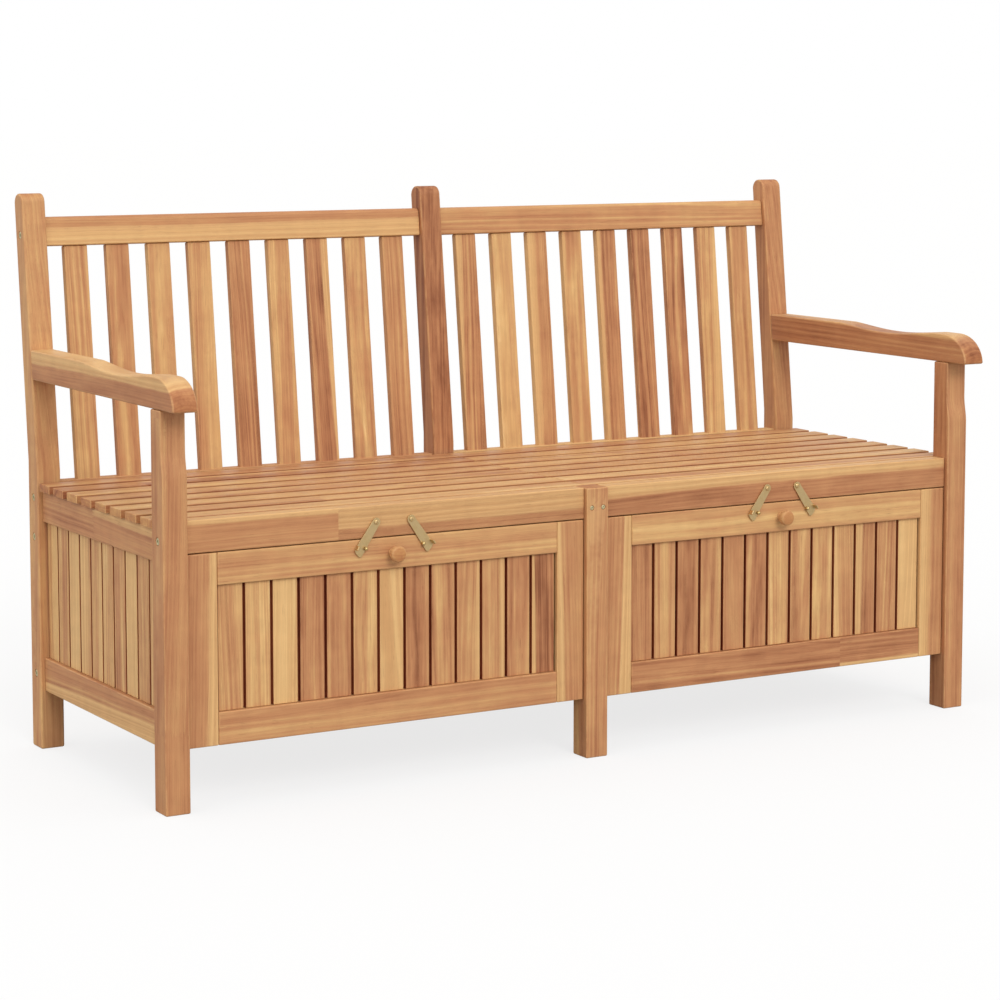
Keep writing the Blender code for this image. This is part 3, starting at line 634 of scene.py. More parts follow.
# tone goes from 0, dark, to 1, pale. sap is how far from the middle the sapwood starts,
# towards turn, in degrees
def makeTimber(
    piece, grainAxis, body, nodes, tone=0.5, sap=None, joint=None, finish=None, turn=None, pith=None, sunk=None
):
    mesh = piece.data
    order = (grainAxis, (grainAxis + 1) % 3, (grainAxis + 2) % 3)
    corners = [Vector(corner) for corner in piece.bound_box]
    middle = (corners[0] + corners[6]) / 2
    places = [tuple(vert.co[i] - middle[i] for i in order) for vert in mesh.vertices]
    seed = draw.random() * 40
    angle = turn if turn is not None else draw.uniform(0, 360)
    away = pith or draw.uniform(0.045, 0.10)
    heart = (away * math.cos(math.radians(angle)), away * math.sin(math.radians(angle)))
    start = sap if sap is not None else draw.choice((0.004, 0.010, 0.018, 0.05, 0.08))
    own = tone + draw.uniform(-0.05, 0.05)
    ended = [max(0.0, min(1.0, (abs(n[grainAxis]) - 0.6) / 0.35)) for n in vertexNormals(mesh)]
    # sunk gives where painted shade goes, deep in joints and gaps
    paintedShadeMask = [sunk(vert.co) if sunk else 0 for vert in mesh.vertices]
    count = len(places)
    writeVectors(mesh, "timberEdges", list(zip(wearAndHighlightMaskOf(mesh), ended, paintedShadeMask)))
    writeVectors(mesh, "timberPlace", places)
    writeVectors(mesh, "timberHeart", [(*heart, start)] * count)
    writeVectors(mesh, "timberLook", [(seed, own, noJoint if joint is None else joint)] * count)
    return smoothOff(piece, body, nodes, finish or oiledTimber)


def makeMetal(piece, body, nodes, finish, sharp=40):
    mesh = piece.data
    shift = Vector((draw.random(), draw.random(), draw.random()))
    writeVectors(mesh, "metalPlace", [tuple(vert.co + shift) for vert in mesh.vertices])
    writeVectors(mesh, "metalEdges", [(r, 0, 0) for r in wearAndHighlightMaskOf(mesh)])
    return smoothOff(piece, body, nodes, finish, sharp)


def slab(name, low, high, grainAxis, body, nodes, ease=0.0015, **looks):
    middle = (Vector(low) + Vector(high)) / 2
    form = newForm()
    addBox(form, Vector(low) - middle, Vector(high) - middle)
    easeEdges(form, ease)
    piece = shapeFrom(name, form)
    piece.location = middle
    return makeTimber(piece, grainAxis, body, nodes, **looks)


def boxSlab(name, node, grainAxis, body="frame", **looks):
    return slab(name, *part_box(node), grainAxis, body, [node], **looks)


def sideCut(name, outline, xLow, xHigh, grainAxis, body, nodes, ease=0.0018, holes=(), **looks):
    form = newForm()
    half = (xHigh - xLow) / 2
    addPrism(form, outline, lambda d, z: (-half, d, z), lambda d, z: (half, d, z))
    easeEdges(form, ease)
    piece = shapeFrom(name, form)
    if holes:
        drill(piece, holes)
    piece.location = ((xLow + xHigh) / 2, frontFace, 0)
    return makeTimber(piece, grainAxis, body, nodes, **looks)


bolts = {
    "radius": 0.0058,
    "smallRadius": 0.0034,  # the pair in the middle leg
    "sunk": 0.0006,
    "socket": 0.42,  # half the socket across its flats, as a share of the radius
    "socketDepth": 0.0016,
    "headDepth": 0.0045,
    "clearance": 0.0004,
    "sides": 36,
    "sidePlaces": {  # depth and height on the outer faces
        "Rear": ((0.5615, 0.833), (0.521, 0.411), (0.521, 0.347), (0.521, 0.1226)),
        "Front": ((0.0208, 0.4076),),
    },
    "frontPlaces": ((-0.0106, 0.405), (0.0106, 0.405)),
}


def addBolt(name, at, outward, radius):
    form = newForm()
    size, sides = bolts, bolts["sides"]
    turn = Vector((0, 1, 0)).rotation_difference(-Vector(outward)).to_matrix().to_4x4()

    def ring(radius, along, hexed=False):
        points = []
        for i in range(sides):
            t = 2 * math.pi * i / sides
            flat = math.cos((t + math.pi / 6) % (math.pi / 3) - math.pi / 6)
            reach = radius / flat if hexed else radius
            points.append(form.verts.new(turn @ Vector((reach * math.cos(t), along, reach * math.sin(t)))))
        return points

    socket = radius * size["socket"]
    rows = [ring(radius, size["headDepth"]), ring(radius, 0.0007), ring(radius - 0.0003, 0.0002)]
    rows += [ring(radius - 0.0009, 0), ring(socket + 0.0003, 0, True), ring(socket, 0.0003, True)]
    rows.append(ring(socket, size["socketDepth"], True))
    for one, other in zip(rows, rows[1:]):
        for i in range(sides):
            j = (i + 1) % sides
            form.faces.new((one[i], one[j], other[j], other[i]))
    form.faces.new(rows[0])
    form.faces.new(rows[-1])
    # the rim of the head gets wear and a painted highlight
    layer = form.verts.layers.float["wearAndHighlightMask"]
    for vert in rows[2] + rows[3] + rows[4]:
        vert[layer] = 0.8
    piece = shapeFrom(name, form)
    piece.location = Vector(at) - Vector(outward) * size["sunk"]
    return makeMetal(piece, "frame", (), boltSteel)


legs = {
    "depth": 0.0415,
    "stepDeep": 0.0055,
    "stepFrom": 0.498,
    "stepTo": 0.543,
    "top": 0.6017,
    "shortTop": 0.437,
    "ease": 0.0024,
    "looks": {
        "Left": {"tone": 0.34, "sap": 0.09, "turn": 180, "joint": -0.175},
        "Middle": {"tone": 0.46, "sap": 0.034, "turn": 20},
        "Right": {"tone": 0.32, "sap": 0.05, "turn": 200},
    },
}
posts = {
    "face": 0.5016,
    "depth": 0.0404,
    "frontBend": 0.455,
    "backBend": 0.470,
    "frontSlope": 0.1135,
    "backSlope": 0.1034,
    "topRound": 0.016,
    "ease": 0.0032,
    "looks": {
        "Left": {"tone": 0.48, "sap": 0.09, "turn": 190, "pith": 0.14},
        "Middle": {"tone": 0.20, "sap": 0.09, "turn": 150, "pith": 0.14},
        "Right": {"tone": 0.38, "sap": 0.09, "turn": 45, "pith": 0.14},
    },
}
lean = math.atan(posts["frontSlope"])


def legOutline(short):
    size = legs
    depth, top = size["depth"], size["shortTop"] if short else size["top"]
    if short:
        return [(0, 0), (0, top), (depth, top), (depth, 0)]
    deep, start, rise = size["stepDeep"], size["stepFrom"], size["stepTo"] - size["stepFrom"]
    curve = [(deep * (1 - math.cos(math.pi * i / 12)) / 2, start + rise * i / 12) for i in range(13)]
    return [(0, 0)] + curve + [(deep, top), (depth, top), (depth, 0)]


def postFace(z):  # how far behind the front of the legs the face of a post is, above its bend
    return posts["face"] + posts["frontSlope"] * (z - posts["frontBend"])


def postOutline():
    size, top, r = posts, cadBox[1].z, posts["topRound"]
    back = size["face"] + size["depth"]
    backTop = back + size["backSlope"] * (top - size["backBend"])
    rounding = arc((backTop - r - size["backSlope"] * r, top - r), (r, r), 0, 90, 9)
    rounding += arc((postFace(top) + r - size["frontSlope"] * r, top - r), (r, r), 90, 180, 9)
    foot = [(size["face"], 0), (back, 0), (back, size["backBend"])]
    return foot + rounding + [(size["face"], size["frontBend"])]


def boltPlaces(kind, side):  # of one leg: its place across, depth, height, direction and radius
    if side:
        return [(side, 0, depth, z, bolts["radius"]) for depth, z in bolts["sidePlaces"][kind]]
    places = bolts["frontPlaces"] if kind == "Front" else ()
    return [(0, across, 0, z, bolts["smallRadius"]) for across, z in places]


def makeLegs():
    half = legWidth / 2
    for name, x, side in (("Left", -halfLength, -1), ("Middle", -half, 0), ("Right", legInner, 1)):
        kinds = (("Front", "frontLeg", "front_leg", legs), ("Rear", "rearPost", "rear_post", posts))
        for kind, title, node, size in kinds:
            holes, heads = [], []
            for outward, across, depth, z, radius in boltPlaces(kind, side):
                at = Vector((outward * half + across, depth, z))
                away = Vector((outward, 0, 0)) if outward else Vector((0, -1, 0))
                holes.append((at, -away, radius + bolts["clearance"], bolts["headDepth"]))
                heads.append((at + Vector((x + half, frontFace, 0)), away, radius))
            outline = legOutline(side == 0) if kind == "Front" else postOutline()
            nodes = [f"{node}_{name.lower()}"]
            looks = size["looks"][name]
            sideCut(f"{title}{name}", outline, x, x + legWidth, 2, "frame", nodes, size["ease"], holes, **looks)
            for count, (at, away, radius) in enumerate(heads, 1):
                addBolt(f"bolt{kind}{name}{count}", at, away, radius)


makeLegs()
print("legs, posts and bolts built")

armrests = {
    "under": 0.602,
    "top": 0.650,
    "overhang": 0.04148,
    "noseLength": 0.060,
    "dip": 0.0085,
    "dipFrom": 0.050,
    "dipTo": 0.310,
    "dipPower": 1.2,
    "ease": 0.0030,
    "looks": {
        "left": {"tone": 0.34, "sap": 0.013, "turn": 0},
        "right": {"tone": 0.22, "sap": 0.021, "turn": 0},
    },
}


def makeArmrests():
    size = armrests
    steps, under, length = 26, size["under"], size["noseLength"]
    top = []
    for i in range(steps + 1):
        depth = size["dipFrom"] + (size["dipTo"] - size["dipFrom"]) * i / steps
        hollow = max(0, math.sin(math.pi * i / steps)) ** size["dipPower"]
        top.append((depth, size["top"] - size["dip"] * hollow))
    nose = arc((length - size["overhang"], under), (length, size["top"] - under), 180, 90, 20)
    meets = [(postFace(z) - gap, z) for z in (size["top"], under)]
    for word, side in ends:
        low, high = sorted((side * legInner, side * halfLength))
        title, nodes = f"armrest{word.title()}", [f"armrest_{word}"]
        sideCut(title, nose + top + meets, low, high, 1, "frame", nodes, size["ease"], **size["looks"][word])


makeArmrests()
print("armrests built")

back = {
    "slats": 9,
    "width": 0.040,
    "thick": 0.014,
    "setback": 0.012,
    "railSetback": 0.007,
    "railThick": 0.024,
    "railFrom": 0.8165,
    "railTo": 0.8635,
    "railRound": 0.008,
    "railEase": 0.0022,
    "seatRail": (0.507, 0.531),  # depths of the rail that the slats stand on
    "ease": 0.0018,
    "sapChoices": (0.006, 0.014, 0.05, 0.08),
    "tones": {
        "left": (0.58, 0.46, 0.66, 0.60, 0.38, 0.58, 0.36, 0.56, 0.44),
        "right": (0.42, 0.76, 0.48, 0.56, 0.44, 0.34, 0.40, 0.54, 0.62),
    },
    "railLooks": {
        "left": {"tone": 0.42, "sap": -0.002, "turn": 270},
        "right": {"tone": 0.50, "sap": 0.06, "turn": 300},
    },
}


def leaning(along, deep):  # (depth, z) of a place up the lean from the bend and back from the posts' face
    up = Vector((math.sin(lean), math.cos(lean)))
    rear = Vector((math.cos(lean), -math.sin(lean)))
    return tuple(Vector((posts["face"], posts["frontBend"])) + along * up + deep * rear)


def backRail():  # section of a top rail, with its top front edge rounded
    size = back
    low, high = [(z - posts["frontBend"]) / math.cos(lean) for z in (size["railFrom"], size["railTo"])]
    near, far, r = size["railSetback"], size["railSetback"] + size["railThick"], size["railRound"]
    rounding = [(along, deep) for deep, along in arc((near + r, high - r), (r, r), 170, 90, 8)]
    outline = [(low, near), (high - r, near), *rounding, (high, far), (low, far)]
    return low, [leaning(*place) for place in outline]


def makeBack():
    size, seatTop = back, legs["shortTop"]
    railLow, rail = backRail()
    slatLow = (seatTop - 0.004 - posts["frontBend"]) / math.cos(lean)
    length = railLow - gap - slatLow
    half = Vector((size["width"], size["thick"], length)) / 2
    for word, side in ends:
        title = word.title()
        node = f"back_slats_{word}"
        xLow, xHigh = sorted((side * (legWidth / 2 + gap), side * (legInner - gap)))
        topRail = [f"back_top_rail_{word}"]
        looks = size["railLooks"][word]
        sideCut(f"backTopRail{title}", rail, xLow, xHigh, 0, "frame", topRail, size["railEase"], **looks)
        near, far = (behind(depth) for depth in size["seatRail"])
        low, high = (xLow, near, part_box(node)[0].z), (xHigh, far, seatTop)
        slab(f"rearSeatRail{title}", low, high, 0, "frame", [node], tone=0.45, finish=bareTimber)
        pitch = (xHigh - xLow + 2 * gap + size["width"]) / (size["slats"] + 1)
        for i, tone in enumerate(size["tones"][word]):
            form = newForm()
            addBox(form, -half, half)
            easeEdges(form, size["ease"])
            slat = shapeFrom(f"backSlat{title}{i + 1}", form)
            depth, z = leaning(slatLow + length / 2, size["setback"] + size["thick"] / 2)
            across = (i - (size["slats"] - 1) / 2) * pitch + side * bayMiddle
            slat.rotation_euler = (-lean, 0, 0)
            slat.location = (across, behind(depth), z)
            sap = draw.choice(size["sapChoices"])
            makeTimber(slat, 2, "frame", [node], tone=tone - 0.04, sap=sap, finish=stripedTimber)


makeBack()
print("back built")

seat = {
    "slats": 8,
    "pitch": 0.0585,
    "width": 0.0415,
    "thick": 0.013,
    "first": 0.0421,
    "seam": 0.0005,
    "ease": 0.0012,
    "gapShade": 0.6,  # how dark the painted shade is on the sides that face a gap
    "jointShare": 0.55,  # share of the slats that have glued joints
    "sapChoices": (0.002, 0.008, 0.016, 0.05),
    "battenWidth": 0.040,
    "tones": {
        "left": (0.64, 0.50, 0.68, 0.54, 0.44, 0.62, 0.42, 0.50),
        "right": (0.54, 0.70, 0.44, 0.66, 0.58, 0.42, 0.62, 0.50),
    },
}
rails = {
    "ease": 0.0022,
    "front": {
        "left": {"tone": 0.36, "sap": 0.020, "turn": 90, "joint": -0.085},
        "right": {"tone": 0.34, "sap": 0.009, "turn": 90},
    },
    "sideUpper": {
        "left": {"tone": 0.36, "sap": 0.02, "joint": 0.02},
        "right": {"tone": 0.42, "joint": -0.05},
    },
    "sideLower": {"left": {"tone": 0.34, "sap": 0.008, "turn": 200}, "right": {"tone": 0.38}},
}


def shadeOfSlat(place):  # painted shade below the rounded edges of the long sides, not on the ends
    size = seat
    side = place.z < size["thick"] / 2 - size["ease"] * 0.4
    end = abs(place.x) >= (halfLength - size["seam"]) / 2 - size["ease"] * 0.8
    return size["gapShade"] if side and not end else 0.0


def makeSeat():
    size, top = seat, legs["shortTop"]
    under = top - size["thick"]
    for word, side in ends:
        title, node = word.title(), f"seat_slats_{word}"
        xLow, xHigh = sorted((side * size["seam"], side * halfLength))
        for i, tone in enumerate(size["tones"][word]):
            near = behind(size["first"] + i * size["pitch"])
            looks = {"tone": tone, "sap": draw.choice(size["sapChoices"]), "sunk": shadeOfSlat}
            if draw.random() < size["jointShare"]:
                looks["joint"] = draw.uniform(-0.25, 0.2)
            low, high = (xLow, near, under), (xHigh, near + size["width"], top)
            name = f"seatSlat{title}{i + 1}"
            slab(name, low, high, 0, "frame", [node], size["ease"], finish=stripedTimber, **looks)
        first, half = size["first"], size["battenWidth"] / 2
        last = first + (size["slats"] - 1) * size["pitch"] + size["width"]
        low = (side * bayMiddle - half, behind(first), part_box(node)[0].z)
        high = (side * bayMiddle + half, behind(last - 2 * gap), under - gap)
        slab(f"seatBatten{title}", low, high, 1, "frame", [node], tone=0.45, finish=bareTimber)
    boxSlab("seatCrossRail", "seat_cross_rail", 1, tone=0.5, finish=bareTimber)


def makeRails():
    ease = rails["ease"]
    for word, _ in ends:
        title = word.title()
        boxSlab(f"frontRail{title}", f"front_rail_{word}", 0, ease=ease, **rails["front"][word])
        boxSlab(f"sideUpperRail{title}", f"side_upper_rail_{word}", 1, ease=ease, **rails["sideUpper"][word])
        boxSlab(f"sideLowerRail{title}", f"side_lower_rail_{word}", 1, ease=ease, **rails["sideLower"][word])
    boxSlab("frontLowerRail", "front_lower_rail", 0, tone=0.45, joint=-0.4, finish=bareTimber)


makeSeat()
makeRails()
print("seat and rails built")

boards = {
    "thick": 0.012,
    "joint": 0.0049,  # the open joint between two faces
    "lip": 0.0040,
    "overlap": 0.0050,
    "ease": 0.0009,
    "toneSpread": 1.25,
    "sapChoices": (  # for a tone above this
        (0.60, (-0.010, -0.004, 0.004)),
        (0.48, (0.006, 0.010, 0.05, 0.08)),
        (0.00, (0.012, 0.08)),
    ),
}


def lapOutline(left, right, first, last):  # plan view of one board, its face at zero depth
    size = boards
    back, lip, slit = size["thick"], size["thick"] - size["lip"], size["joint"] / 2
    reach = slit if last else size["joint"] + size["overlap"]
    points = [(left, 0), (right, 0), (right, lip), (right + reach, lip), (right + reach, back)]
    if first:
        return points + [(left - slit, back), (left - slit, lip), (left, lip)]
    rebate = left + size["overlap"] + gap
    return points + [(rebate, back), (rebate, lip - gap), (left, lip - gap)]


# turnRound takes a place across the row, a depth and a height, and gives x, y and z
def makeBoards(name, width, tones, length, place, turnRound, body, nodes):
    size = boards
    pitch, half, slit = width / len(tones), length / 2, size["joint"] / 2
    away = Vector(turnRound(0, 1, 0))

    # painted shade on the walls of each open joint, not on the face or the back
    def shadeOfBoard(place):
        return 1.0 if size["ease"] * 0.7 < place.dot(away) < size["thick"] * 0.85 else 0.0

    for i, tone in enumerate(tones):
        left, right = i * pitch + slit, (i + 1) * pitch - slit
        middle = (left + right) / 2
        outline = lapOutline(left - middle, right - middle, i == 0, i == len(tones) - 1)
        form = newForm()
        addPrism(form, outline, lambda w, d: turnRound(w, d, -half), lambda w, d: turnRound(w, d, half))
        easeEdges(form, size["ease"], 2)
        board = shapeFrom(f"{name}{i + 1}", form)
        board.location = Vector(place) + Vector(turnRound(middle, 0, half))
        sap = draw.choice(next(choices for above, choices in size["sapChoices"] if tone > above))
        own = 0.47 + (tone - 0.5) * size["toneSpread"]
        makeTimber(board, 2, body, nodes, tone=own, sap=sap, finish=stripedTimber, sunk=shadeOfBoard)


sideTones = {
    "left": (0.64, 0.56, 0.68, 0.62, 0.50, 0.60, 0.54, 0.66, 0.50, 0.62),
    "right": (0.52, 0.44, 0.60, 0.50, 0.64, 0.42, 0.54, 0.46, 0.58, 0.50),
}
rearPanel = {
    "face": 0.510,
    "far": 0.534,
    "rails": {"Lower": (0.5016, 0.0955, 0.150), "Upper": (0.510, 0.320, 0.3745)},  # depth, foot and top
    "boards": 15,
}


def makeSides():
    for word, side in ends:
        node = f"side_slats_{word}"
        low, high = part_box(node)
        place = (low.x if side < 0 else high.x, low.y, low.z)
        tones = sideTones[word][::-1]  # the dictionary has them from the rear
        width, length = high.y - low.y, high.z - low.z
        name = f"sideBoard{word.title()}"
        makeBoards(name, width, tones, length, place, lambda w, d, z: (-side * d, w, z), "frame", [node])


def makeRear():
    size = rearPanel
    far, thick = size["far"], boards["thick"]
    for word, _ in ends:
        title, node = word.title(), f"rear_panel_{word}"
        low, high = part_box(node)
        for label, (near, foot, top) in size["rails"].items():
            corners = (low.x, behind(near), foot), (high.x, behind(far), top)
            joint = draw.uniform(-0.2, 0.1)
            slab(f"rear{label}Rail{title}", *corners, 0, "frame", [node], tone=0.48, joint=joint)
        tones = [draw.uniform(0.36, 0.66) for _ in range(size["boards"])]
        foot, top = size["rails"]["Lower"][2] + gap, size["rails"]["Upper"][1] - gap
        place = (low.x, behind((size["face"] + far + thick) / 2), foot)
        name, width = f"rearBoard{title}", high.x - low.x
        makeBoards(name, width, tones, top - foot, place, lambda w, d, z: (w, -d, z), "frame", [node])


floorBoards = {"count": 6, "gap": 0.0015, "ease": 0.0012}


def makeFloors():
    size = floorBoards
    post = behind(posts["face"]) - gap
    for word, side in ends:
        node = f"floor_{word}"
        low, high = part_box(node)
        pitch = (high.y - low.y + size["gap"]) / size["count"]
        inner, outer = (high.x, low.x) if side < 0 else (low.x, high.x)
        pastMiddle, pastEnd = side * (legWidth / 2 + gap), side * (legInner - gap)
        for i in range(size["count"]):
            near, far = low.y + i * pitch, low.y + (i + 1) * pitch - size["gap"]
            outline = [(inner, near), (outer, near)]
            if far > post:  # the last board is notched round the posts
                outline += [(outer, post), (pastEnd, post), (pastEnd, far)]
                outline += [(pastMiddle, far), (pastMiddle, post), (inner, post)]
            else:
                outline += [(outer, far), (inner, far)]
            middle = Vector(((inner + outer) / 2, (near + far) / 2, (low.z + high.z) / 2))
            outline = [(x - middle.x, y - middle.y) for x, y in outline]
            half = (high.z - low.z) / 2
            form = newForm()
            addPrism(form, outline, lambda x, y: (x, y, -half), lambda x, y: (x, y, half))
            easeEdges(form, size["ease"], 2)
            board = shapeFrom(f"floorBoard{word.title()}{i + 1}", form)
            board.location = middle
            tone, joint = draw.uniform(0.40, 0.62), draw.uniform(-0.3, 0.3)
            makeTimber(board, 0, "frame", [node], tone=tone, joint=joint, finish=bareTimber)


makeSides()
makeRear()
makeFloors()
print("boards and floors built")

doors = {
    "recess": 0.0084,  # the frame's face behind the front of the legs
    "thick": 0.025,
    "ease": 0.0020,
    "tones": {
        "left": (0.50, 0.60, 0.70, 0.32, 0.44, 0.56, 0.62, 0.42, 0.48, 0.54, 0.56, 0.40, 0.36),
        "right": (0.38, 0.54, 0.42, 0.48, 0.44, 0.36, 0.50, 0.52, 0.54, 0.56, 0.34, 0.46, 0.62),
    },
    "parts": {
        "left": {
            "stile_left": {"tone": 0.42, "sap": 0.009, "turn": 0},
            "stile_right": {"tone": 0.36, "sap": 0.013, "turn": 180},
            "top_rail": {"tone": 0.56, "sap": 0.05},
            "bottom_rail": {"tone": 0.47, "sap": 0.018},
        },
        "right": {
            "stile_left": {"tone": 0.42, "sap": 0.006, "turn": 0},
            "stile_right": {"tone": 0.46, "sap": 0.006, "turn": 180},
            "top_rail": {"tone": 0.60, "sap": 0.03},
            "bottom_rail": {"tone": 0.34, "sap": 0.05, "joint": 0.13},
        },
    },
}
knobs = {
    "radius": 0.0125,
    "length": 0.023,
    "base": 0.0082,
    "turned": (  # distance out from the door, and radius
        (0.0012, 0.0082),
        (0.0030, 0.0070),
        (0.0052, 0.0066),
        (0.00794, 0.0078),
        (0.00934, 0.0100),
        (0.01114, 0.0119375),
        (0.01354, 0.0125),
    ),
    "corner": 0.0042,
    "crown": 0.0010,  # how far the face of the head stands out past its rounded edge
    "tone": 0.58,
    "sap": 0.05,
}


def makeKnob(name, body, node):
    size = knobs
    low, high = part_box(node)
    across, z, face = (low.x + high.x) / 2, (low.z + high.z) / 2, high.y + gap
    r, length, corner, crown = size["radius"], size["length"], size["corner"], size["crown"]
    profile = [(-gap, 0), (-gap, size["base"]), *[(-out, radius) for out, radius in size["turned"]]]
    profile += arc((crown + corner - length, r - corner), (corner, corner), 90, 180, 7)
    profile += [(crown * 0.3 - length, r * 0.36), (-length, 0)]
    form = newForm()
    addTurned(form, profile, sides=56)
    piece = shapeFrom(name, form)
    piece.location = (across, face, z)
    makeTimber(piece, 1, body, [node], tone=size["tone"], sap=size["sap"], finish=knobTimber)


def makeDoor(word):
    body = f"{word}_door"
    for part, looks in doors["parts"][word].items():
        words = "".join(bit.title() for bit in part.split("_"))
        grain = 2 if "stile" in part else 0
        boxSlab(f"{word}Door{words}", f"{body}_{part}", grain, body, ease=doors["ease"], **looks)
    node = f"{body}_slats"
    low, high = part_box(node)
    width, length, tones = high.x - low.x, high.z - low.z, doors["tones"][word]
    makeBoards(f"{word}DoorBoard", width, tones, length, low, lambda w, d, z: (w, d, z), body, [node])
    makeKnob(f"{word}DoorKnob", body, f"{body}_knob")


for word, _ in ends:
    makeDoor(word)
print("doors built")

latches = {
    "tilt": math.radians(33),
    "width": 0.0132,
    "head": 0.0068,
    "length": 0.0597,
    "thick": 0.0018,
    "flareFrom": 0.0050,
    "flareTo": 0.0470,
    "flareOut": 0.0027,
    "cornerAlong": 0.0545,
    "footTip": 0.6,  # share of half the width at which the foot's slope ends
    "footBow": 0.0011,
    "footRise": 0.0030,
    "catchAlong": 0.0435,
    "catchIn": 0.0050,
    "slotRadius": 0.0026,
    "ease": 0.00035,
    "tabFrom": 0.0462,  # the finger tab, bent up along the outer edge
    "tabTo": 0.0540,
    "tabTaper": 0.0012,
    "tabThick": 0.0011,
    "tabReach": 0.0088,
    "tabRoll": 0.0009,
    "pinReach": 0.0060,
    "pinRadius": 0.0030,
    "pinNeck": 0.0021,
    "screwNeck": 0.0020,
    "screwHead": 0.0038,
    "screwEdge": ((0.0009, 0.0), (0.0014, 0.0003), (0.0017, 0.0009)),  # distance out, and in from the rim
    "screwOut": 0.0019,
    "screwSlot": 0.0009,
    "slotTurn": 32,
}


def latchOutline(outward):
    size = latches
    half, r = size["width"] / 2, size["slotRadius"]
    shoulder = math.degrees(math.acos(half / size["head"]))
    head = arc((0, 0), (size["head"], size["head"]), 180 + shoulder, -shoulder, 28)
    flare = [(half, -size["flareFrom"]), (half + size["flareOut"], -size["flareTo"])]
    corner = Vector((half + size["flareOut"], -size["cornerAlong"]))
    tip = Vector((-half * size["footTip"], -size["length"]))
    foot = []
    for i in range(7):  # the end of the arm is a shallow bow
        bow = size["footBow"] * math.sin(math.pi * i / 6)
        foot.append(tuple(corner.lerp(tip, i / 6) + Vector((bow * 0.5, -bow))))
    inner = [(-half, size["footRise"] - size["length"]), (-half, -size["catchAlong"] - r)]
    slot = arc((-size["catchIn"], -size["catchAlong"]), (r, r), -90, 90, 12)
    points = head + flare + foot + inner + slot + [(-half, r - size["catchAlong"])]
    return [(outward * x, z) for x, z in points]


def addTab(form, outward):
    size = latches
    thick, roll, reach, taper = size["tabThick"], size["tabRoll"], size["tabReach"], size["tabTaper"]
    out = size["width"] / 2 + size["flareOut"] - thick / 2
    path = [(out, size["thick"] / 2), (out, -0.0005), (out, -reach * 0.5), (out, roll - reach)]
    path += arc((out + roll, roll - reach), (roll, roll), 195, 330, 8)
    rows = []
    for i, (x, y) in enumerate(path):
        here = Vector((x, y))
        ahead = Vector(path[min(i + 1, len(path) - 1)]) - Vector(path[max(i - 1, 0)])
        side = Vector((-ahead.y, ahead.x)).normalized() * thick / 2
        share = i / (len(path) - 1)
        high, low = -size["tabFrom"] - taper * share, -size["tabTo"] + taper * share
        row = []
        for place, z in ((here + side, high), (here + side, low), (here - side, low), (here - side, high)):
            row.append(form.verts.new((outward * place.x, place.y, z)))
        rows.append(row)
    for one, other in zip(rows, rows[1:]):
        for i in range(4):
            form.faces.new((one[i], one[(i + 1) % 4], other[(i + 1) % 4], other[i]))
    form.faces.new(rows[0])
    form.faces.new(rows[-1])


def makeLatch(door, word, outward):
    name = f"{door}_door_latch_{word}"
    joint = next(j for j in frame["joints"] if j["child"] == name)
    pivot = Vector(joint["pos_m"])
    size = latches
    form = newForm()
    addPrism(form, latchOutline(outward), lambda x, z: (x, 0, z), lambda x, z: (x, size["thick"], z))
    addTab(form, outward)
    easeEdges(form, size["ease"], 2)
    arm = shapeFrom(f"{door}Latch{word.title()}", form)
    arm.rotation_euler = (0, -outward * size["tilt"], 0)
    arm.location = pivot
    makeMetal(arm, name, [name], latchBrass, 50)

    depth = behind(doors["recess"]) - pivot.y - gap  # the frame's face, as seen from the arm
    form = newForm()
    head, neck = size["screwHead"], size["screwNeck"]
    edge = [(-out, head - inward) for out, inward in size["screwEdge"]]
    profile = [(depth, 0), (depth, neck), (-gap, neck), (-gap, head), *edge, (-size["screwOut"], 0)]
    addTurned(form, profile, sides=36)
    # the screw head's rim gets wear and a painted highlight
    layer = form.verts.layers.float["wearAndHighlightMask"]
    for vert in form.verts:
        vert[layer] = 0.5 if -0.0018 < vert.co.y < -0.0011 else 0.0
    screw = shapeFrom(f"{door}LatchScrew{word.title()}", form)
    slot = newForm()
    half = size["screwSlot"] / 2
    addBox(slot, (-half, -0.004, -0.01), (half, -0.0009, 0.01))
    slot.transform(Matrix.Rotation(math.radians(size["slotTurn"]), 4, "Y"))
    carve(screw, [slot])
    screw.location = pivot
    makeMetal(screw, "frame", [f"{name}_screw"], latchBrass, 60)

    tilt = Matrix.Rotation(-outward * size["tilt"], 4, "Y")
    form = newForm()
    ball, neck, reach = size["pinRadius"], size["pinNeck"], size["pinReach"]
    profile = [(depth, 0), (depth, neck), (ball * 1.4 - reach, neck)]
    profile += arc((ball * 0.8 - reach, 0), (ball * 0.8, ball), 40, 180, 9)[:-1]
    profile += [(-reach, 0)]
    addTurned(form, profile, sides=32)
    pin = shapeFrom(f"{door}CatchPin{word.title()}", form)
    pin.location = pivot + tilt @ Vector((-outward * size["catchIn"], 0, -size["catchAlong"]))
    makeMetal(pin, f"{door}_door", [f"{name}_catch_pin"], pinBrass, 60)


for door, _ in ends:
    for word, outward in ends:
        makeLatch(door, word, outward)
print("latches built")

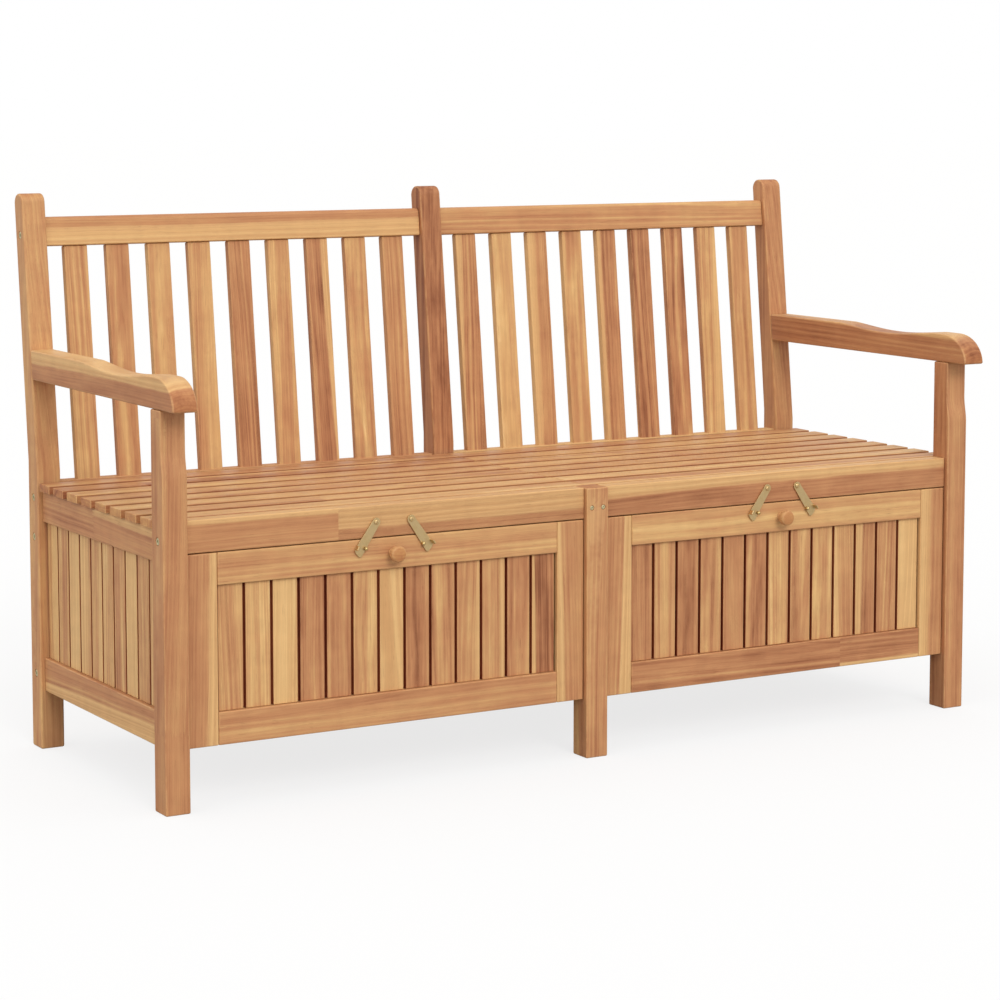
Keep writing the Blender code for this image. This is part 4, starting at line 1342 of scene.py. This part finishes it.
hinges = {
    "apart": 0.430,  # from one hinge to the other under the same door
    "thick": 0.0015,
    "height": 0.024,
    "length": 0.050,
    "corner": 0.003,
    "ease": 0.0003,
    "knuckle": 0.016,
    "radius": 0.0032,
    "pin": 0.0015,
    "play": 0.0002,  # between the pin and the knuckles
    "rise": 0.0006,  # from the knuckles to the plate
    "screws": ((-0.018, 0.016), (0.0, 0.009), (0.018, 0.016)),
    "screwRadius": 0.0028,
    "screwProfile": (  # distance along, and share of the radius
        (0.0002, 0),
        (0.0002, 1),
        (-0.0003, 1),
        (-0.0007, 0.75),
        (-0.0008, 0.3),
        (-0.0002, 0.2),
        (-0.0002, 0),
    ),
}
alongX = Matrix.Rotation(-math.pi / 2, 4, "Z")


def addLeaf(form, stretches, near, far):  # a plate that stands over its knuckles
    size = hinges
    half, corner, r, ease = size["length"] / 2, size["corner"], size["radius"], size["ease"]
    foot = r + size["rise"]
    top = foot + size["height"]
    plate = [(-half, foot), (half, foot)]
    plate += arc((half - corner, top - corner), (corner, corner), 0, 90, 5)
    plate += arc((corner - half, top - corner), (corner, corner), 90, 180, 5)
    addPrism(form, plate, lambda x, z: (x, near, z), lambda x, z: (x, far, z))
    for start, end in stretches:
        addBox(form, (start, near, 0.0004), (end, far, foot + size["rise"]))
    easeEdges(form, ease, 1)
    hole = size["pin"] + size["play"]
    for start, end in stretches:
        profile = [(start + ease, hole), (start, hole + ease), (start, r - ease), (start + ease, r)]
        profile += [(end - ease, r), (end, r - ease), (end, hole + ease), (end - ease, hole)]
        addTurned(form, profile, alongX, 28)


def addPin(form):
    size = hinges
    half, r, ease = size["length"] / 2, size["pin"], size["ease"]
    shoulder, tip = half + 0.0001, half + 0.0004
    profile = [(-tip, 0), (-tip, r - ease), (-shoulder, r), (shoulder, r), (tip, r - ease), (tip, 0)]
    addTurned(form, profile, alongX, 20)


def makeHinge(door, word, middle):
    size = hinges
    axis = next(Vector(joint["pos_m"]) for joint in frame["joints"] if joint["child"] == f"{door}_door")
    axis.x = middle
    half, knuckle = size["length"] / 2, size["knuckle"]
    doorFace = behind(doors["recess"] + doors["thick"]) + gap - axis.y
    frameFace = behind(legs["depth"]) - axis.y
    outer = ((-half, -half + knuckle), (half - knuckle, half))
    inner = ((-half + knuckle + gap, half - knuckle - gap),)
    leaves = (
        ("Door", f"{door}_door", "hinge", outer, doorFace, 1),
        ("Frame", "frame", "frame", inner, frameFace - size["thick"], -1),
    )
    for label, body, kind, stretches, near, out in leaves:
        far = near + size["thick"]
        form = newForm()
        addLeaf(form, stretches, near, far)
        if label == "Frame":
            addPin(form)
        leaf = shapeFrom(f"{door}Hinge{label}Leaf{word.title()}", form)
        leaf.location = axis
        makeMetal(leaf, body, [f"{door}_door_{kind}_leaf_{word}"], pinBrass, 35)
        form = newForm()
        face, foot = far if out > 0 else near, size["radius"] + size["rise"]
        profile = [(along, share * size["screwRadius"]) for along, share in size["screwProfile"]]
        for across, up in size["screws"]:
            place = Matrix.Translation((across, face, foot + up)) @ Matrix.Diagonal((1, -out, 1, 1))
            addTurned(form, profile, place, 24)
        screws = shapeFrom(f"{door}Hinge{label}Screws{word.title()}", form)
        screws.location = axis
        makeMetal(screws, body, (), pinBrass, 40)


for door, side in ends:
    for word, hand in ends:
        makeHinge(door, word, side * bayMiddle + hand * hinges["apart"] / 2)
print("hinges built")
